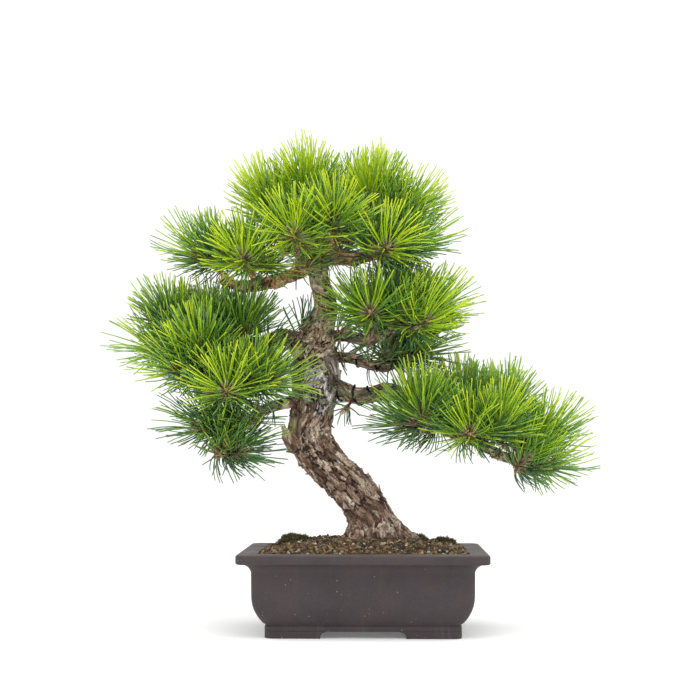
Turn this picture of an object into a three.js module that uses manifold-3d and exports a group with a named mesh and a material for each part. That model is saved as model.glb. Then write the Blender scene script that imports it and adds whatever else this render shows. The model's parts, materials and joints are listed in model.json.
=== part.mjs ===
// A Japanese black pine bonsai in an unglazed rectangular pot.
//
// Millimetres, +Z up, the viewer stands on the -Y side. Everything is modelled around the middle of
// the pot with z = 0 on the table; the finished group is then moved so that its own origin is the
// middle of the underside of the whole object's box.

import * as THREE from 'three';
import { mergeVertices } from 'three/addons/utils/BufferGeometryUtils.js';
import Module from 'manifold-3d';

const wasm = await Module();
wasm.setup();

// ---------------------------------------------------------------- driving dimensions

const GAP = 0.3; // left between pieces that touch

const POT_WIDTH = 260; // over the lip, along X
const POT_DEPTH = 200; // over the lip, along Y
const POT_HEIGHT = 87;
const LIP_OVERHANG = 15; // lip beyond the belly of the pot
const LIP_HEIGHT = 10;
const LIP_WIDTH = 21; // flat top of the lip, from its edge to the opening
const BODY_TAPER = 13; // belly beyond the foot
const FOOT_BAND = 13.5; // height of the straight band at the foot
const FOOT_HEIGHT = 7; // clear height of the arches between the feet
const FOOT_THICKNESS = 16;
const FOOT_LENGTH_X = 57.5; // from a pot corner to the arch, along X
const FOOT_LENGTH_Y = 46; // the same along Y
const ARCH_COVE = 7; // concave quarter round at the end of each foot
const FLOOR_THICKNESS = 9;
const WALL = 9;
const CORNER_RADIUS = 9;
const DRAIN_RADIUS = 10;
const DRAIN_SPACING = 90; // between the centres of the two drain holes

const MESH_SIDE = 34; // drain screens
const MESH_THICKNESS = 1.2;
const MESH_CELLS = 4;
const MESH_STRAND = 2;

const GRAVEL_DEPTH = 12;
const SOIL_CROWN = 11; // mound above the lip
const SOIL_EDGE_DROP = 1.5; // soil below the lip at the wall

const TREE_HEIGHT = 372; // from the soil to the top bud
const TREE_REACH = 1; // how far the limbs spread sideways, 1 as grown
const TRUNK_GIRTH = 1; // multiplies every radius of the trunk and limbs
const NEEDLE_LENGTH = 56;
const BUD_RADIUS = 6;
const NEEDLE_FAN = 112; // half angle of a tuft, in degrees from its axis
const TWIG_RADIUS = 2.6;

const WIRE_RADIUS = 1.2;

// ---------------------------------------------------------------- worked-out values

const lipHalf = { x: POT_WIDTH / 2, y: POT_DEPTH / 2 };
const bellyHalf = { x: lipHalf.x - LIP_OVERHANG, y: lipHalf.y - LIP_OVERHANG };
const footHalf = { x: bellyHalf.x - BODY_TAPER, y: bellyHalf.y - BODY_TAPER };
const mouthHalf = { x: lipHalf.x - LIP_WIDTH, y: lipHalf.y - LIP_WIDTH };
const floorTop = FOOT_HEIGHT + FLOOR_THICKNESS;
const gravelTop = floorTop + GRAVEL_DEPTH;
const soilEdge = POT_HEIGHT - SOIL_EDGE_DROP;
const soilTop = POT_HEIGHT + SOIL_CROWN;
const GROWN_HEIGHT = 372; // the height that the limb points below are written for
const treeScale = TREE_HEIGHT / GROWN_HEIGHT;
const sideScale = treeScale * TREE_REACH;
const MAX_LUMP = 0.09; // deepest swelling of the bark, as a share of the radius

// ---------------------------------------------------------------- materials

const material = (color, roughness, metalness = 0) =>
  new THREE.MeshStandardMaterial({ color, roughness, metalness, flatShading: true });

const clay = material('#50484b', 0.72);
const screenPlastic = material('#23262a', 0.55);
const gravelGrit = material('#8d8478', 0.95);
const akadama = material('#8a6a44', 0.98);
const mossGreen = material('#4d5630', 1.0);
const oldBark = material('#6f5c4c', 0.95);
const youngBark = material('#9a6238', 0.9);
const copperWire = material('#5f3526', 0.45, 0.8);
const blackWire = material('#1d1b1c', 0.5, 0.6);
const brightNeedle = material('#8fbf22', 0.5);
const midNeedle = material('#4f8f22', 0.5);
const darkNeedle = material('#2f5f26', 0.55);

// ---------------------------------------------------------------- solids

const toSolid = (geometry) => {
  const bare = geometry.index ? geometry.toNonIndexed() : geometry.clone();
  bare.deleteAttribute('normal');
  bare.deleteAttribute('uv');
  const merged = mergeVertices(bare, 1e-4);
  const mesh = new wasm.Mesh({
    numProp: 3,
    vertProperties: Float32Array.from(merged.attributes.position.array),
    triVerts: Uint32Array.from(merged.index.array),
  });
  return new wasm.Manifold(mesh);
};

const toGeometry = (solid) => {
  const mesh = solid.getMesh();
  const geometry = new THREE.BufferGeometry();
  geometry.setAttribute('position', new THREE.BufferAttribute(Float32Array.from(mesh.vertProperties), 3));
  geometry.setIndex(new THREE.BufferAttribute(Uint32Array.from(mesh.triVerts), 1));
  geometry.computeVertexNormals();
  return geometry;
};

const indexed = (points, faces) => {
  const geometry = new THREE.BufferGeometry();
  geometry.setAttribute('position', new THREE.Float32BufferAttribute(points.flatMap((p) => p.toArray()), 3));
  geometry.setIndex(faces.flat());
  geometry.computeVertexNormals();
  return geometry;
};

// Skins a stack of rings that all have the same number of points and closes both ends.
const loft = (rings) => {
  const count = rings[0].length;
  const points = rings.flat();
  const faces = [];
  for (let row = 0; row < rings.length - 1; row += 1) {
    for (let i = 0; i < count; i += 1) {
      const a = row * count + i;
      const b = row * count + ((i + 1) % count);
      faces.push([a, b, b + count], [a, b + count, a + count]);
    }
  }
  const cap = (ring, start, flip) => {
    const centre = points.length;
    points.push(ring.reduce((sum, p) => sum.add(p), new THREE.Vector3()).divideScalar(count));
    for (let i = 0; i < count; i += 1) {
      const j = (i + 1) % count;
      faces.push(flip ? [centre, start + j, start + i] : [centre, start + i, start + j]);
    }
  };
  cap(rings[0], 0, true);
  cap(rings[rings.length - 1], (rings.length - 1) * count, false);
  return indexed(points, faces);
};

// Keeps the biggest body of a cut, so that no crumb of a cut piece stays behind.
const biggest = (solid) => {
  const bodies = solid.decompose();
  return bodies.reduce((best, body) => (body.volume() > best.volume() ? body : best));
};

// ---------------------------------------------------------------- pot

const CORNER_STEPS = 4;

const roundedRing = (halfX, halfY, radius, z) => {
  const ring = [];
  const corners = [[1, -1, -90], [1, 1, 0], [-1, 1, 90], [-1, -1, 180]];
  for (const [sx, sy, start] of corners) {
    for (let i = 0; i <= CORNER_STEPS; i += 1) {
      const angle = THREE.MathUtils.degToRad(start + (90 * i) / CORNER_STEPS);
      const x = sx * (halfX - radius) + radius * Math.cos(angle);
      const y = sy * (halfY - radius) + radius * Math.sin(angle);
      ring.push(new THREE.Vector3(x, y, z));
    }
  }
  return ring;
};

// Outward offset from the foot at each height: a belly that swells in a quarter round, then rises
// almost straight, then turns out in a cove under the lip.
const outerProfile = () => {
  const profile = [[0, 0], [0, FOOT_BAND]];
  const shoulder = BODY_TAPER * 0.72;
  const STEPS = 5;
  for (let i = 1; i <= STEPS; i += 1) {
    const t = (i / STEPS) * (Math.PI / 2);
    profile.push([shoulder * Math.sin(t), FOOT_BAND + shoulder * 1.6 * (1 - Math.cos(t))]);
  }
  const coveRadius = LIP_OVERHANG * 0.75;
  const coveStart = POT_HEIGHT - LIP_HEIGHT - coveRadius;
  profile.push([BODY_TAPER, coveStart]);
  for (let i = 1; i <= STEPS; i += 1) {
    const t = (i / STEPS) * (Math.PI / 2);
    profile.push([BODY_TAPER + coveRadius * (1 - Math.cos(t)), coveStart + coveRadius * Math.sin(t)]);
  }
  const edge = BODY_TAPER + LIP_OVERHANG;
  const EASE = 1.2;
  profile.push([edge - EASE, POT_HEIGHT - LIP_HEIGHT + 0.01]);
  profile.push([edge, POT_HEIGHT - LIP_HEIGHT + EASE]);
  profile.push([edge, POT_HEIGHT - EASE]);
  profile.push([edge - EASE, POT_HEIGHT]);
  return profile;
};

// Half sizes of the cavity at height z.
const cavityHalf = (z) => {
  const t = THREE.MathUtils.clamp((z - floorTop) / (POT_HEIGHT - floorTop), 0, 1);
  const widen = (foot, mouth) => THREE.MathUtils.lerp(foot - WALL * 0.6, mouth, t ** 0.45);
  return { x: widen(footHalf.x, mouthHalf.x), y: widen(footHalf.y, mouthHalf.y) };
};

const CAVITY_LEVELS = [0, 0.08, 0.2, 0.4, 0.7, 1];

// The room inside the pot, less a clearance at the walls.
const cavitySolid = (clearance, above) => {
  const rings = CAVITY_LEVELS.map((level) => {
    const z = THREE.MathUtils.lerp(floorTop, POT_HEIGHT, level);
    const half = cavityHalf(z);
    return roundedRing(half.x - clearance, half.y - clearance, CORNER_RADIUS, z);
  });
  rings.push(roundedRing(mouthHalf.x - clearance, mouthHalf.y - clearance, CORNER_RADIUS, POT_HEIGHT + above));
  return toSolid(loft(rings));
};

// A channel of arch section running through under the pot.
const archTunnel = (halfWidth, length, alongX) => {
  const shape = new THREE.Shape();
  shape.moveTo(-halfWidth, -1);
  shape.lineTo(halfWidth, -1);
  shape.lineTo(halfWidth, 0);
  shape.quadraticCurveTo(halfWidth - ARCH_COVE, 0, halfWidth - ARCH_COVE, FOOT_HEIGHT);
  shape.lineTo(-halfWidth + ARCH_COVE, FOOT_HEIGHT);
  shape.quadraticCurveTo(-halfWidth + ARCH_COVE, 0, -halfWidth, 0);
  const geometry = new THREE.ExtrudeGeometry(shape, { depth: length, bevelEnabled: false, curveSegments: 4 });
  geometry.translate(0, 0, -length / 2);
  geometry.rotateX(Math.PI / 2);
  if (alongX) geometry.rotateZ(Math.PI / 2);
  return toSolid(geometry);
};

const buildPot = () => {
  const outer = toSolid(loft(outerProfile().map(([out, z]) =>
    roundedRing(footHalf.x + out, footHalf.y + out, CORNER_RADIUS, z))));
  const pocketX = footHalf.x - FOOT_THICKNESS;
  const pocketY = footHalf.y - FOOT_THICKNESS;
  const pocket = toSolid(loft([-1, FOOT_HEIGHT].map((z) => roundedRing(pocketX, pocketY, CORNER_RADIUS / 2, z))));
  let pot = outer.subtract(cavitySolid(0, 1)).subtract(pocket);
  pot = pot.subtract(archTunnel(footHalf.x - FOOT_LENGTH_X, POT_DEPTH, false));
  pot = pot.subtract(archTunnel(footHalf.y - FOOT_LENGTH_Y, POT_WIDTH, true));
  for (const side of [-1, 1]) {
    const hole = new THREE.CylinderGeometry(DRAIN_RADIUS, DRAIN_RADIUS, POT_HEIGHT, 24);
    hole.rotateX(Math.PI / 2);
    hole.translate((side * DRAIN_SPACING) / 2, 0, POT_HEIGHT / 4);
    pot = pot.subtract(toSolid(hole));
  }
  return toGeometry(pot);
};

const buildDrainScreen = (side) => {
  let screen = toSolid(new THREE.BoxGeometry(MESH_SIDE, MESH_SIDE, MESH_THICKNESS));
  const pitch = (MESH_SIDE - MESH_STRAND) / MESH_CELLS;
  const first = -(pitch * (MESH_CELLS - 1)) / 2;
  for (let i = 0; i < MESH_CELLS * MESH_CELLS; i += 1) {
    const cell = new THREE.BoxGeometry(pitch - MESH_STRAND, pitch - MESH_STRAND, MESH_THICKNESS * 3);
    cell.translate(first + pitch * (i % MESH_CELLS), first + pitch * Math.floor(i / MESH_CELLS), 0);
    screen = screen.subtract(toSolid(cell));
  }
  const x = (side * DRAIN_SPACING) / 2;
  return toGeometry(screen.translate([x, 0, floorTop + GAP + MESH_THICKNESS / 2]));
};

const buildGravel = () => {
  const slab = new THREE.BoxGeometry(POT_WIDTH, POT_DEPTH, GRAVEL_DEPTH - GAP);
  slab.translate(0, 0, gravelTop - (GRAVEL_DEPTH - GAP) / 2);
  let gravel = cavitySolid(GAP, 1).intersect(toSolid(slab));
  for (const side of [-1, 1]) {
    const recess = MESH_THICKNESS + GAP * 2;
    const box = new THREE.BoxGeometry(MESH_SIDE + GAP * 2, MESH_SIDE + GAP * 2, recess * 2);
    box.translate((side * DRAIN_SPACING) / 2, 0, floorTop);
    gravel = gravel.subtract(toSolid(box));
  }
  return toGeometry(gravel);
};

// ---------------------------------------------------------------- limbs

// Points are [across, away, up, radius] with the soil's crown over the pot's middle as zero.
const place = ([x, y, z]) => new THREE.Vector3(x * sideScale, y * sideScale, soilTop + z * treeScale);

const limbCurve = (points, step) => {
  const nodes = points.map((p) => ({ at: place(p), radius: p[3] * TRUNK_GIRTH * treeScale }));
  const curve = new THREE.CatmullRomCurve3(nodes.map((n) => n.at), false, 'centripetal');
  const samples = [];
  for (let i = 0; i < nodes.length - 1; i += 1) {
    const span = nodes[i].at.distanceTo(nodes[i + 1].at);
    const cuts = Math.max(1, Math.round(span / step));
    for (let k = 0; k < cuts; k += 1) {
      const t = k / cuts;
      const at = curve.getPoint((i + t) / (nodes.length - 1));
      samples.push({ at, radius: THREE.MathUtils.lerp(nodes[i].radius, nodes[i + 1].radius, t) });
    }
  }
  samples.push(nodes[nodes.length - 1]);
  return samples;
};

// Carries a pair of cross directions along a line of samples without twisting them. The last one
// can be told which way to face.
const addFrames = (samples, facing = null) => {
  let side = new THREE.Vector3(0, 1, 0);
  samples.forEach((sample, i) => {
    const before = samples[Math.max(0, i - 1)].at;
    const after = samples[Math.min(samples.length - 1, i + 1)].at;
    const last = i === samples.length - 1;
    const along = last && facing ? facing.clone() : after.clone().sub(before).normalize();
    side = side.clone().addScaledVector(along, -side.dot(along)).normalize();
    sample.along = along;
    sample.side = side;
    sample.up = along.clone().cross(side);
  });
  return samples;
};

const barkLump = (angle, run) =>
  1 + 0.045 * Math.sin(3 * angle + run * 0.07) + 0.035 * Math.sin(5 * angle - run * 0.11 + 1.3);

const tube = (samples, sides, grow, lumpy) => {
  let run = 0;
  const rings = samples.map((sample, i) => {
    if (i > 0) run += sample.at.distanceTo(samples[i - 1].at);
    const ring = [];
    for (let k = 0; k < sides; k += 1) {
      const angle = (2 * Math.PI * k) / sides;
      const radius = sample.radius * (lumpy ? barkLump(angle, run) : 1) + grow;
      const point = sample.at.clone();
      point.addScaledVector(sample.side, radius * Math.cos(angle));
      point.addScaledVector(sample.up, radius * Math.sin(angle));
      ring.push(point);
    }
    return ring;
  });
  return toSolid(loft(rings));
};

const TRUNK = [
  [14, 6, -44, 16], [14, 6, -16, 28], [13, 5, 2, 29], [7, 3, 21, 24.5], [-5, 1, 42, 22.5],
  [-32, 0, 73, 21.5], [-54, 0, 97, 23.5], [-60, 0, 115, 23.5], [-58, 0, 130, 22.5],
  [-54, 0, 149, 24], [-51, 0, 171, 26.5], [-53, 0, 193, 24], [-51, 0, 210, 21], [-48, 0, 228, 16],
  [-42, 1, 245, 13], [-42, 2, 258, 12.5], [-46, 2, 271, 11], [-50, 2, 286, 10.5], [-51, 2, 302, 10],
  [-49, 3, 316, 8], [-45, 5, 332, 6.5], [-44, 3, 348, 5], [-52, -16, 362, 3.6],
];

const ROOTS = [
  [[16, 4, 22, 13], [36, 2, 8, 11], [54, -2, -3, 7], [70, -6, -14, 4]],
  [[2, -4, 24, 14], [-8, -18, 4, 10], [-14, -30, -10, 5]],
  [[14, -6, 20, 14], [26, -22, 2, 9], [36, -36, -12, 4]],
  [[12, 12, 22, 14], [18, 32, 4, 10], [24, 50, -12, 5]],
  [[4, 8, 22, 13], [-14, 22, 2, 9], [-28, 34, -12, 4]],
];

const STUBS = [
  [[-58, -8, 100, 11], [-74, -16, 100, 9], [-82, -19, 110, 6.5], [-87, -20, 122, 2.5]],
  [[-58, -6, 186, 10], [-67, -14, 196, 8], [-76, -20, 205, 5.5]],
];

// Each limb: the piece's name, its line, and its bark.
const LIMBS = {
  branch_left: {
    bark: oldBark,
    line: [[-54, 0, 208, 12], [-72, -8, 215, 10], [-88, -14, 218, 9.5], [-100, -18, 212, 9.5],
      [-112, -20, 207, 9], [-130, -20, 201, 8], [-150, -20, 197, 7.5], [-176, -20, 196, 6.5],
      [-202, -14, 198, 5]],
  },
  branch_lower_left: {
    bark: oldBark,
    line: [[-54, 0, 146, 8], [-80, -10, 147, 6.5], [-102, -16, 141, 6], [-123, -18, 128, 6],
      [-142, -20, 112, 6], [-156, -20, 112, 5]],
  },
  branch_cascade: {
    bark: oldBark,
    line: [[-50, 0, 168, 13], [-26, -6, 161, 10.5], [-8, -12, 154, 9.5], [9, -16, 155, 9],
      [23, -18, 160, 8.5], [43, -18, 155, 8], [64, -20, 138, 7.5], [90, -22, 117, 7],
      [116, -22, 108, 6.5], [136, -20, 95, 6], [154, -18, 87, 5.5], [174, -16, 83, 4.5]],
  },
  branch_right: {
    bark: oldBark,
    line: [[-48, -2, 216, 8], [-28, -5, 220, 6.5], [-8, -9, 217, 6.5], [6, -12, 213, 6.5],
      [20, -15, 220, 5.5], [44, -15, 227, 5]],
  },
  branch_right_low: {
    bark: oldBark,
    line: [[-50, 2, 192, 8], [-30, 7, 197, 6], [-9, 10, 195, 6], [7, 11, 189, 6], [22, 14, 186, 5.5],
      [38, 17, 191, 4.5]],
  },
  branch_crown_left: {
    bark: youngBark,
    line: [[-51, 2, 300, 9.5], [-64, -5, 294, 8.5], [-78, -12, 285, 8], [-93, -18, 279, 7.5],
      [-115, -20, 274, 7.5], [-134, -20, 272, 6.5], [-155, -18, 280, 5]],
  },
  branch_crown_right: {
    bark: youngBark,
    line: [[-50, 2, 303, 9.5], [-38, -5, 304, 7.5], [-24, -12, 303, 7], [-10, -20, 301, 7],
      [6, -25, 305, 6.5], [20, -25, 311, 5.5], [34, -20, 320, 4.5]],
  },
  branch_crown_back: {
    bark: youngBark,
    line: [[-50, 4, 312, 7.5], [-48, 24, 318, 7], [-45, 46, 326, 6], [-44, 68, 328, 5]],
  },
};

// Each tuft of needles: [limb, bud, the way it points, needle colour].
const TUFTS = {
  needles_crown_top: ['trunk', [-60, -38, 380], [-0.1, -0.45, 1], brightNeedle],
  needles_crown_top_back: ['branch_crown_back', [-8, 34, 380], [0.1, 0.1, 1], darkNeedle],
  needles_crown_top_right: ['branch_crown_right', [10, -16, 376], [0.1, -0.2, 1], brightNeedle],
  needles_crown_front_left: ['branch_crown_left', [-126, -75, 296], [-0.15, -1, 0.25], brightNeedle],
  needles_crown_front: ['branch_crown_left', [-72, -92, 320], [-0.1, -1, 0.35], brightNeedle],
  needles_crown_front_right: ['branch_crown_right', [-30, -84, 334], [0.15, -0.9, 0.5], brightNeedle],
  needles_crown_right_low: ['branch_crown_right', [26, -70, 308], [0.4, -0.85, 0.25], brightNeedle],
  needles_crown_right_up: ['branch_crown_right', [50, -6, 356], [0.7, -0.2, 0.75], brightNeedle],
  needles_crown_right: ['branch_crown_right', [60, -20, 318], [0.95, -0.2, 0.1], midNeedle],
  needles_crown_left_up: ['branch_crown_left', [-104, -34, 362], [-0.5, -0.3, 0.85], brightNeedle],
  needles_crown_left: ['branch_crown_left', [-180, -22, 306], [-0.9, -0.25, 0.35], midNeedle],
  needles_crown_left_back: ['branch_crown_back', [-92, 66, 358], [-0.4, 0.6, 0.7], darkNeedle],
  needles_crown_right_back: ['branch_crown_back', [2, 74, 356], [0.4, 0.6, 0.7], darkNeedle],
  needles_crown_back: ['branch_crown_back', [-44, 92, 326], [0, 1, 0.25], darkNeedle],
  needles_left_star: ['branch_left', [-140, -86, 157], [0.05, -1, 0.15], brightNeedle],
  needles_left_front: ['branch_left', [-196, -56, 178], [-0.75, -0.6, -0.1], midNeedle],
  needles_left_inner: ['branch_left', [-94, -68, 164], [0.9, -0.4, 0.05], midNeedle],
  needles_left_tip: ['branch_left', [-228, -16, 202], [-1, -0.1, 0.1], midNeedle],
  needles_left_tip_up: ['branch_left', [-216, 6, 238], [-0.5, 0.1, 0.9], midNeedle],
  needles_left_middle: ['branch_left', [-172, -58, 204], [-0.15, -0.75, 0.7], midNeedle],
  needles_left_up: ['branch_left', [-172, 0, 232], [-0.1, 0, 1], midNeedle],
  needles_left_up_inner: ['branch_left', [-128, -26, 232], [0.25, -0.1, 1], darkNeedle],
  needles_left_back: ['branch_left', [-168, 60, 214], [-0.2, 0.9, 0.4], darkNeedle],
  needles_left_low: ['branch_lower_left', [-178, -20, 118], [-0.9, -0.2, -0.15], darkNeedle],
  needles_left_low_inner: ['branch_lower_left', [-130, -30, 92], [0.5, -0.3, -0.6], darkNeedle],
  needles_right_star: ['branch_right', [8, -60, 240], [-0.1, -1, 0.2], midNeedle],
  needles_right_front: ['branch_right', [66, -50, 230], [0.6, -0.7, 0.15], brightNeedle],
  needles_right_up: ['branch_right', [38, -2, 262], [0, 0.1, 1], midNeedle],
  needles_right_tip: ['branch_right', [82, 4, 250], [0.8, 0.15, 0.5], midNeedle],
  needles_right_back: ['branch_right_low', [24, 58, 232], [0.1, 0.9, 0.4], darkNeedle],
  needles_right_low: ['branch_right_low', [62, 14, 200], [0.9, -0.1, -0.1], darkNeedle],
  needles_cascade_inner: ['branch_cascade', [62, -52, 142], [0, -0.6, 0.8], midNeedle],
  needles_cascade_under: ['branch_cascade', [42, -16, 122], [-0.5, -0.2, -0.4], darkNeedle],
  needles_cascade_front: ['branch_cascade', [112, -58, 112], [0, -0.95, -0.1], midNeedle],
  needles_cascade_middle: ['branch_cascade', [146, -46, 122], [0.3, -0.6, 0.7], brightNeedle],
  needles_cascade_tip: ['branch_cascade', [200, -22, 77], [0.9, -0.2, -0.3], midNeedle],
  needles_cascade_tip_up: ['branch_cascade', [200, -4, 112], [0.7, 0, 0.7], midNeedle],
  needles_cascade_up: ['branch_cascade', [104, 14, 150], [-0.1, 0.2, 1], midNeedle],
  needles_cascade_back: ['branch_cascade', [156, 16, 146], [0.2, 0.4, 0.9], midNeedle],
};

const LIMB_STEP = 12;
const LIMB_SIDES = 9;
const TRUNK_SIDES = 16;
const ROOT_SIDES = 8;
const TWIG_SIDES = 5;
const TWIG_STEP = 18;
const TWIG_BEND = 0.42; // how far before its bud a twig has turned the bud's way, as a share of its length

const trunkSamples = addFrames(limbCurve(TRUNK, LIMB_STEP));
const rootSamples = ROOTS.map((line) => addFrames(limbCurve(line, LIMB_STEP)));
const stubSamples = STUBS.map((line) => addFrames(limbCurve(line, LIMB_STEP)));
const limbSamples = { trunk: trunkSamples };
for (const [name, limb] of Object.entries(LIMBS)) {
  limbSamples[name] = addFrames(limbCurve(limb.line, LIMB_STEP));
}

const budOf = (name) => place(TUFTS[name][1]);
const axisOf = (name) => new THREE.Vector3(...TUFTS[name][2]).normalize();

// A twig leaves its limb a little inward of the nearest point and arrives along the bud's axis.
const twigSamples = (name) => {
  const limb = limbSamples[TUFTS[name][0]];
  const bud = budOf(name);
  const axis = axisOf(name);
  const end = bud.clone().addScaledVector(axis, -(BUD_RADIUS + GAP));
  let nearest = 0;
  limb.forEach((sample, i) => {
    if (sample.at.distanceTo(end) < limb[nearest].at.distanceTo(end)) nearest = i;
  });
  const root = limb[Math.max(1, nearest - 1)];
  const reach = root.at.distanceTo(end);
  const swing = end.clone().addScaledVector(axis, -reach * TWIG_BEND);
  const curve = new THREE.QuadraticBezierCurve3(root.at, swing, end);
  const steps = Math.max(3, Math.round(reach / TWIG_STEP));
  const thick = Math.min(root.radius * 0.7, TWIG_RADIUS * 1.7);
  const samples = curve.getPoints(steps).map((at, i) => ({
    at,
    radius: THREE.MathUtils.lerp(thick, TWIG_RADIUS, i / steps),
  }));
  return addFrames(samples, axis);
};

const twigs = {};
for (const name of Object.keys(TUFTS)) twigs[name] = twigSamples(name);

const twigsOf = (limbName) => Object.keys(TUFTS).filter((name) => TUFTS[name][0] === limbName);

const withTwigs = (solid, limbName, grow) =>
  twigsOf(limbName).reduce((sum, name) => sum.add(tube(twigs[name], TWIG_SIDES, grow, false)), solid);

const trunkSolid = (grow) => {
  let solid = tube(trunkSamples, TRUNK_SIDES, grow, true);
  for (const samples of rootSamples) solid = solid.add(tube(samples, ROOT_SIDES, grow, true));
  for (const samples of stubSamples) solid = solid.add(tube(samples, ROOT_SIDES, grow, false));
  return withTwigs(solid, 'trunk', grow);
};

const limbSolid = (name, grow) => withTwigs(tube(limbSamples[name], LIMB_SIDES, grow, true), name, grow);

// ---------------------------------------------------------------- soil and moss

const SOIL_RINGS = 7;

// A low mound that is full height in the middle and level with its edge at the walls.
const soilHeight = (x, y, lift) => {
  const across = Math.min(1, Math.abs(x) / mouthHalf.x);
  const away = Math.min(1, Math.abs(y) / mouthHalf.y);
  const swell = (1 - across ** 3) * (1 - away ** 3);
  const ripple = 0.9 * Math.sin(x * 0.09 + 1) * Math.cos(y * 0.11) * swell;
  const lean = -2.2 * Math.max(0, x / mouthHalf.x) * swell;
  return soilEdge + SOIL_CROWN * swell + ripple + lean + lift;
};

// The soil fills the pot above the gravel and ends in a low uneven mound.
const soilSolid = (lift) => {
  const overX = mouthHalf.x + WALL / 2;
  const overY = mouthHalf.y + WALL / 2;
  const rings = [roundedRing(overX, overY, CORNER_RADIUS, gravelTop + GAP)];
  for (let i = 0; i <= SOIL_RINGS; i += 1) {
    const share = 1 - i / (SOIL_RINGS + 1);
    const ring = roundedRing(overX * share, overY * share, Math.min(CORNER_RADIUS, overY * share * 0.9), 0);
    rings.push(ring.map((p) => new THREE.Vector3(p.x, p.y, soilHeight(p.x, p.y, lift))));
  }
  return toSolid(loft(rings)).intersect(cavitySolid(GAP, SOIL_CROWN * 2));
};

// Each patch: its middle as a share of the pot's mouth, and its half sizes.
const MOSS = {
  moss_left: { at: [-0.69, 0.33], size: [19, 14, 9] },
  moss_right: { at: [0.53, 0.43], size: [12, 9, 7] },
  moss_right_back: { at: [0.8, 0.63], size: [16, 10, 6] },
};

const buildMoss = ({ at, size }, soilLifted, wood) => {
  const dome = new THREE.IcosahedronGeometry(1, 2);
  dome.scale(...size);
  const x = at[0] * mouthHalf.x;
  const y = at[1] * mouthHalf.y;
  dome.translate(x, y, soilHeight(x, y, 0));
  return toGeometry(biggest(toSolid(dome).subtract(soilLifted).subtract(wood)));
};

// ---------------------------------------------------------------- needle tufts

// Everything woody that a needle must stop short of, as balls along each line.
const woodBalls = [];
const addBalls = (samples, skin) => {
  for (let i = 0; i < samples.length - 1; i += 1) {
    for (const t of [0, 0.34, 0.67]) {
      const at = samples[i].at.clone().lerp(samples[i + 1].at, t);
      const radius = THREE.MathUtils.lerp(samples[i].radius, samples[i + 1].radius, t) * skin;
      woodBalls.push({ at, radius });
    }
  }
  const last = samples[samples.length - 1];
  woodBalls.push({ at: last.at, radius: last.radius * skin });
};
for (const samples of Object.values(limbSamples)) addBalls(samples, 1 + MAX_LUMP);
for (const samples of [...rootSamples, ...stubSamples]) addBalls(samples, 1 + MAX_LUMP);
for (const samples of Object.values(twigs)) addBalls(samples, 1);

const SPIKE_SKIN = 2.2; // half the width of a needle bundle near the bud
const SHORTEST = 1.8; // in bud radii: a bundle shorter than this is left out

const distanceToBall = (bud, direction, ball) => {
  const away = ball.at.clone().sub(bud);
  const reach = ball.radius + GAP + SPIKE_SKIN;
  const along = away.dot(direction);
  const missSq = away.lengthSq() - along * along;
  if (along < 0 || missSq > reach * reach) return Infinity;
  return along - Math.sqrt(reach * reach - missSq);
};

const spikeLength = (name, bud, direction, wanted) => {
  let length = wanted;
  for (const other of Object.keys(TUFTS)) {
    if (other === name) continue;
    const away = budOf(other).sub(bud);
    const toPlane = away.length() / 2 - GAP / 2;
    const toward = away.normalize().dot(direction);
    if (toward > 0) length = Math.min(length, toPlane / toward);
  }
  for (const ball of woodBalls) {
    length = Math.min(length, distanceToBall(bud, direction, ball));
  }
  return length;
};

// A tuft is a bud with one bundle of needles standing on each face of it that looks the tuft's way.
const buildTuft = (name, index) => {
  const bud = budOf(name);
  const axis = axisOf(name);
  const ball = new THREE.IcosahedronGeometry(BUD_RADIUS, 1);
  ball.applyQuaternion(new THREE.Quaternion().setFromUnitVectors(new THREE.Vector3(0, 0, 1), axis));
  ball.deleteAttribute('normal');
  ball.deleteAttribute('uv');
  const merged = mergeVertices(ball, 1e-3);
  const position = merged.attributes.position;
  const points = [];
  for (let i = 0; i < position.count; i += 1) points.push(new THREE.Vector3().fromBufferAttribute(position, i).add(bud));
  const faces = [];
  const fan = Math.cos(THREE.MathUtils.degToRad(NEEDLE_FAN));
  for (let f = 0; f < merged.index.count; f += 3) {
    const [a, b, c] = [0, 1, 2].map((k) => merged.index.array[f + k]);
    const middle = points[a].clone().add(points[b]).add(points[c]).divideScalar(3);
    const direction = middle.sub(bud).normalize();
    const wave = 0.9 + 0.1 * Math.sin(f * 1.7 + index * 2.3);
    const length = spikeLength(name, bud, direction, NEEDLE_LENGTH * wave);
    if (direction.dot(axis) < fan || length < BUD_RADIUS * SHORTEST) {
      faces.push([a, b, c]);
      continue;
    }
    const tip = points.length;
    points.push(bud.clone().addScaledVector(direction, length));
    faces.push([a, b, tip], [b, c, tip], [c, a, tip]);
  }
  return indexed(points, faces);
};

// ---------------------------------------------------------------- training wires

const WIRE_STEPS = 10; // per turn
const WIRE_SIDES = 5;

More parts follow.
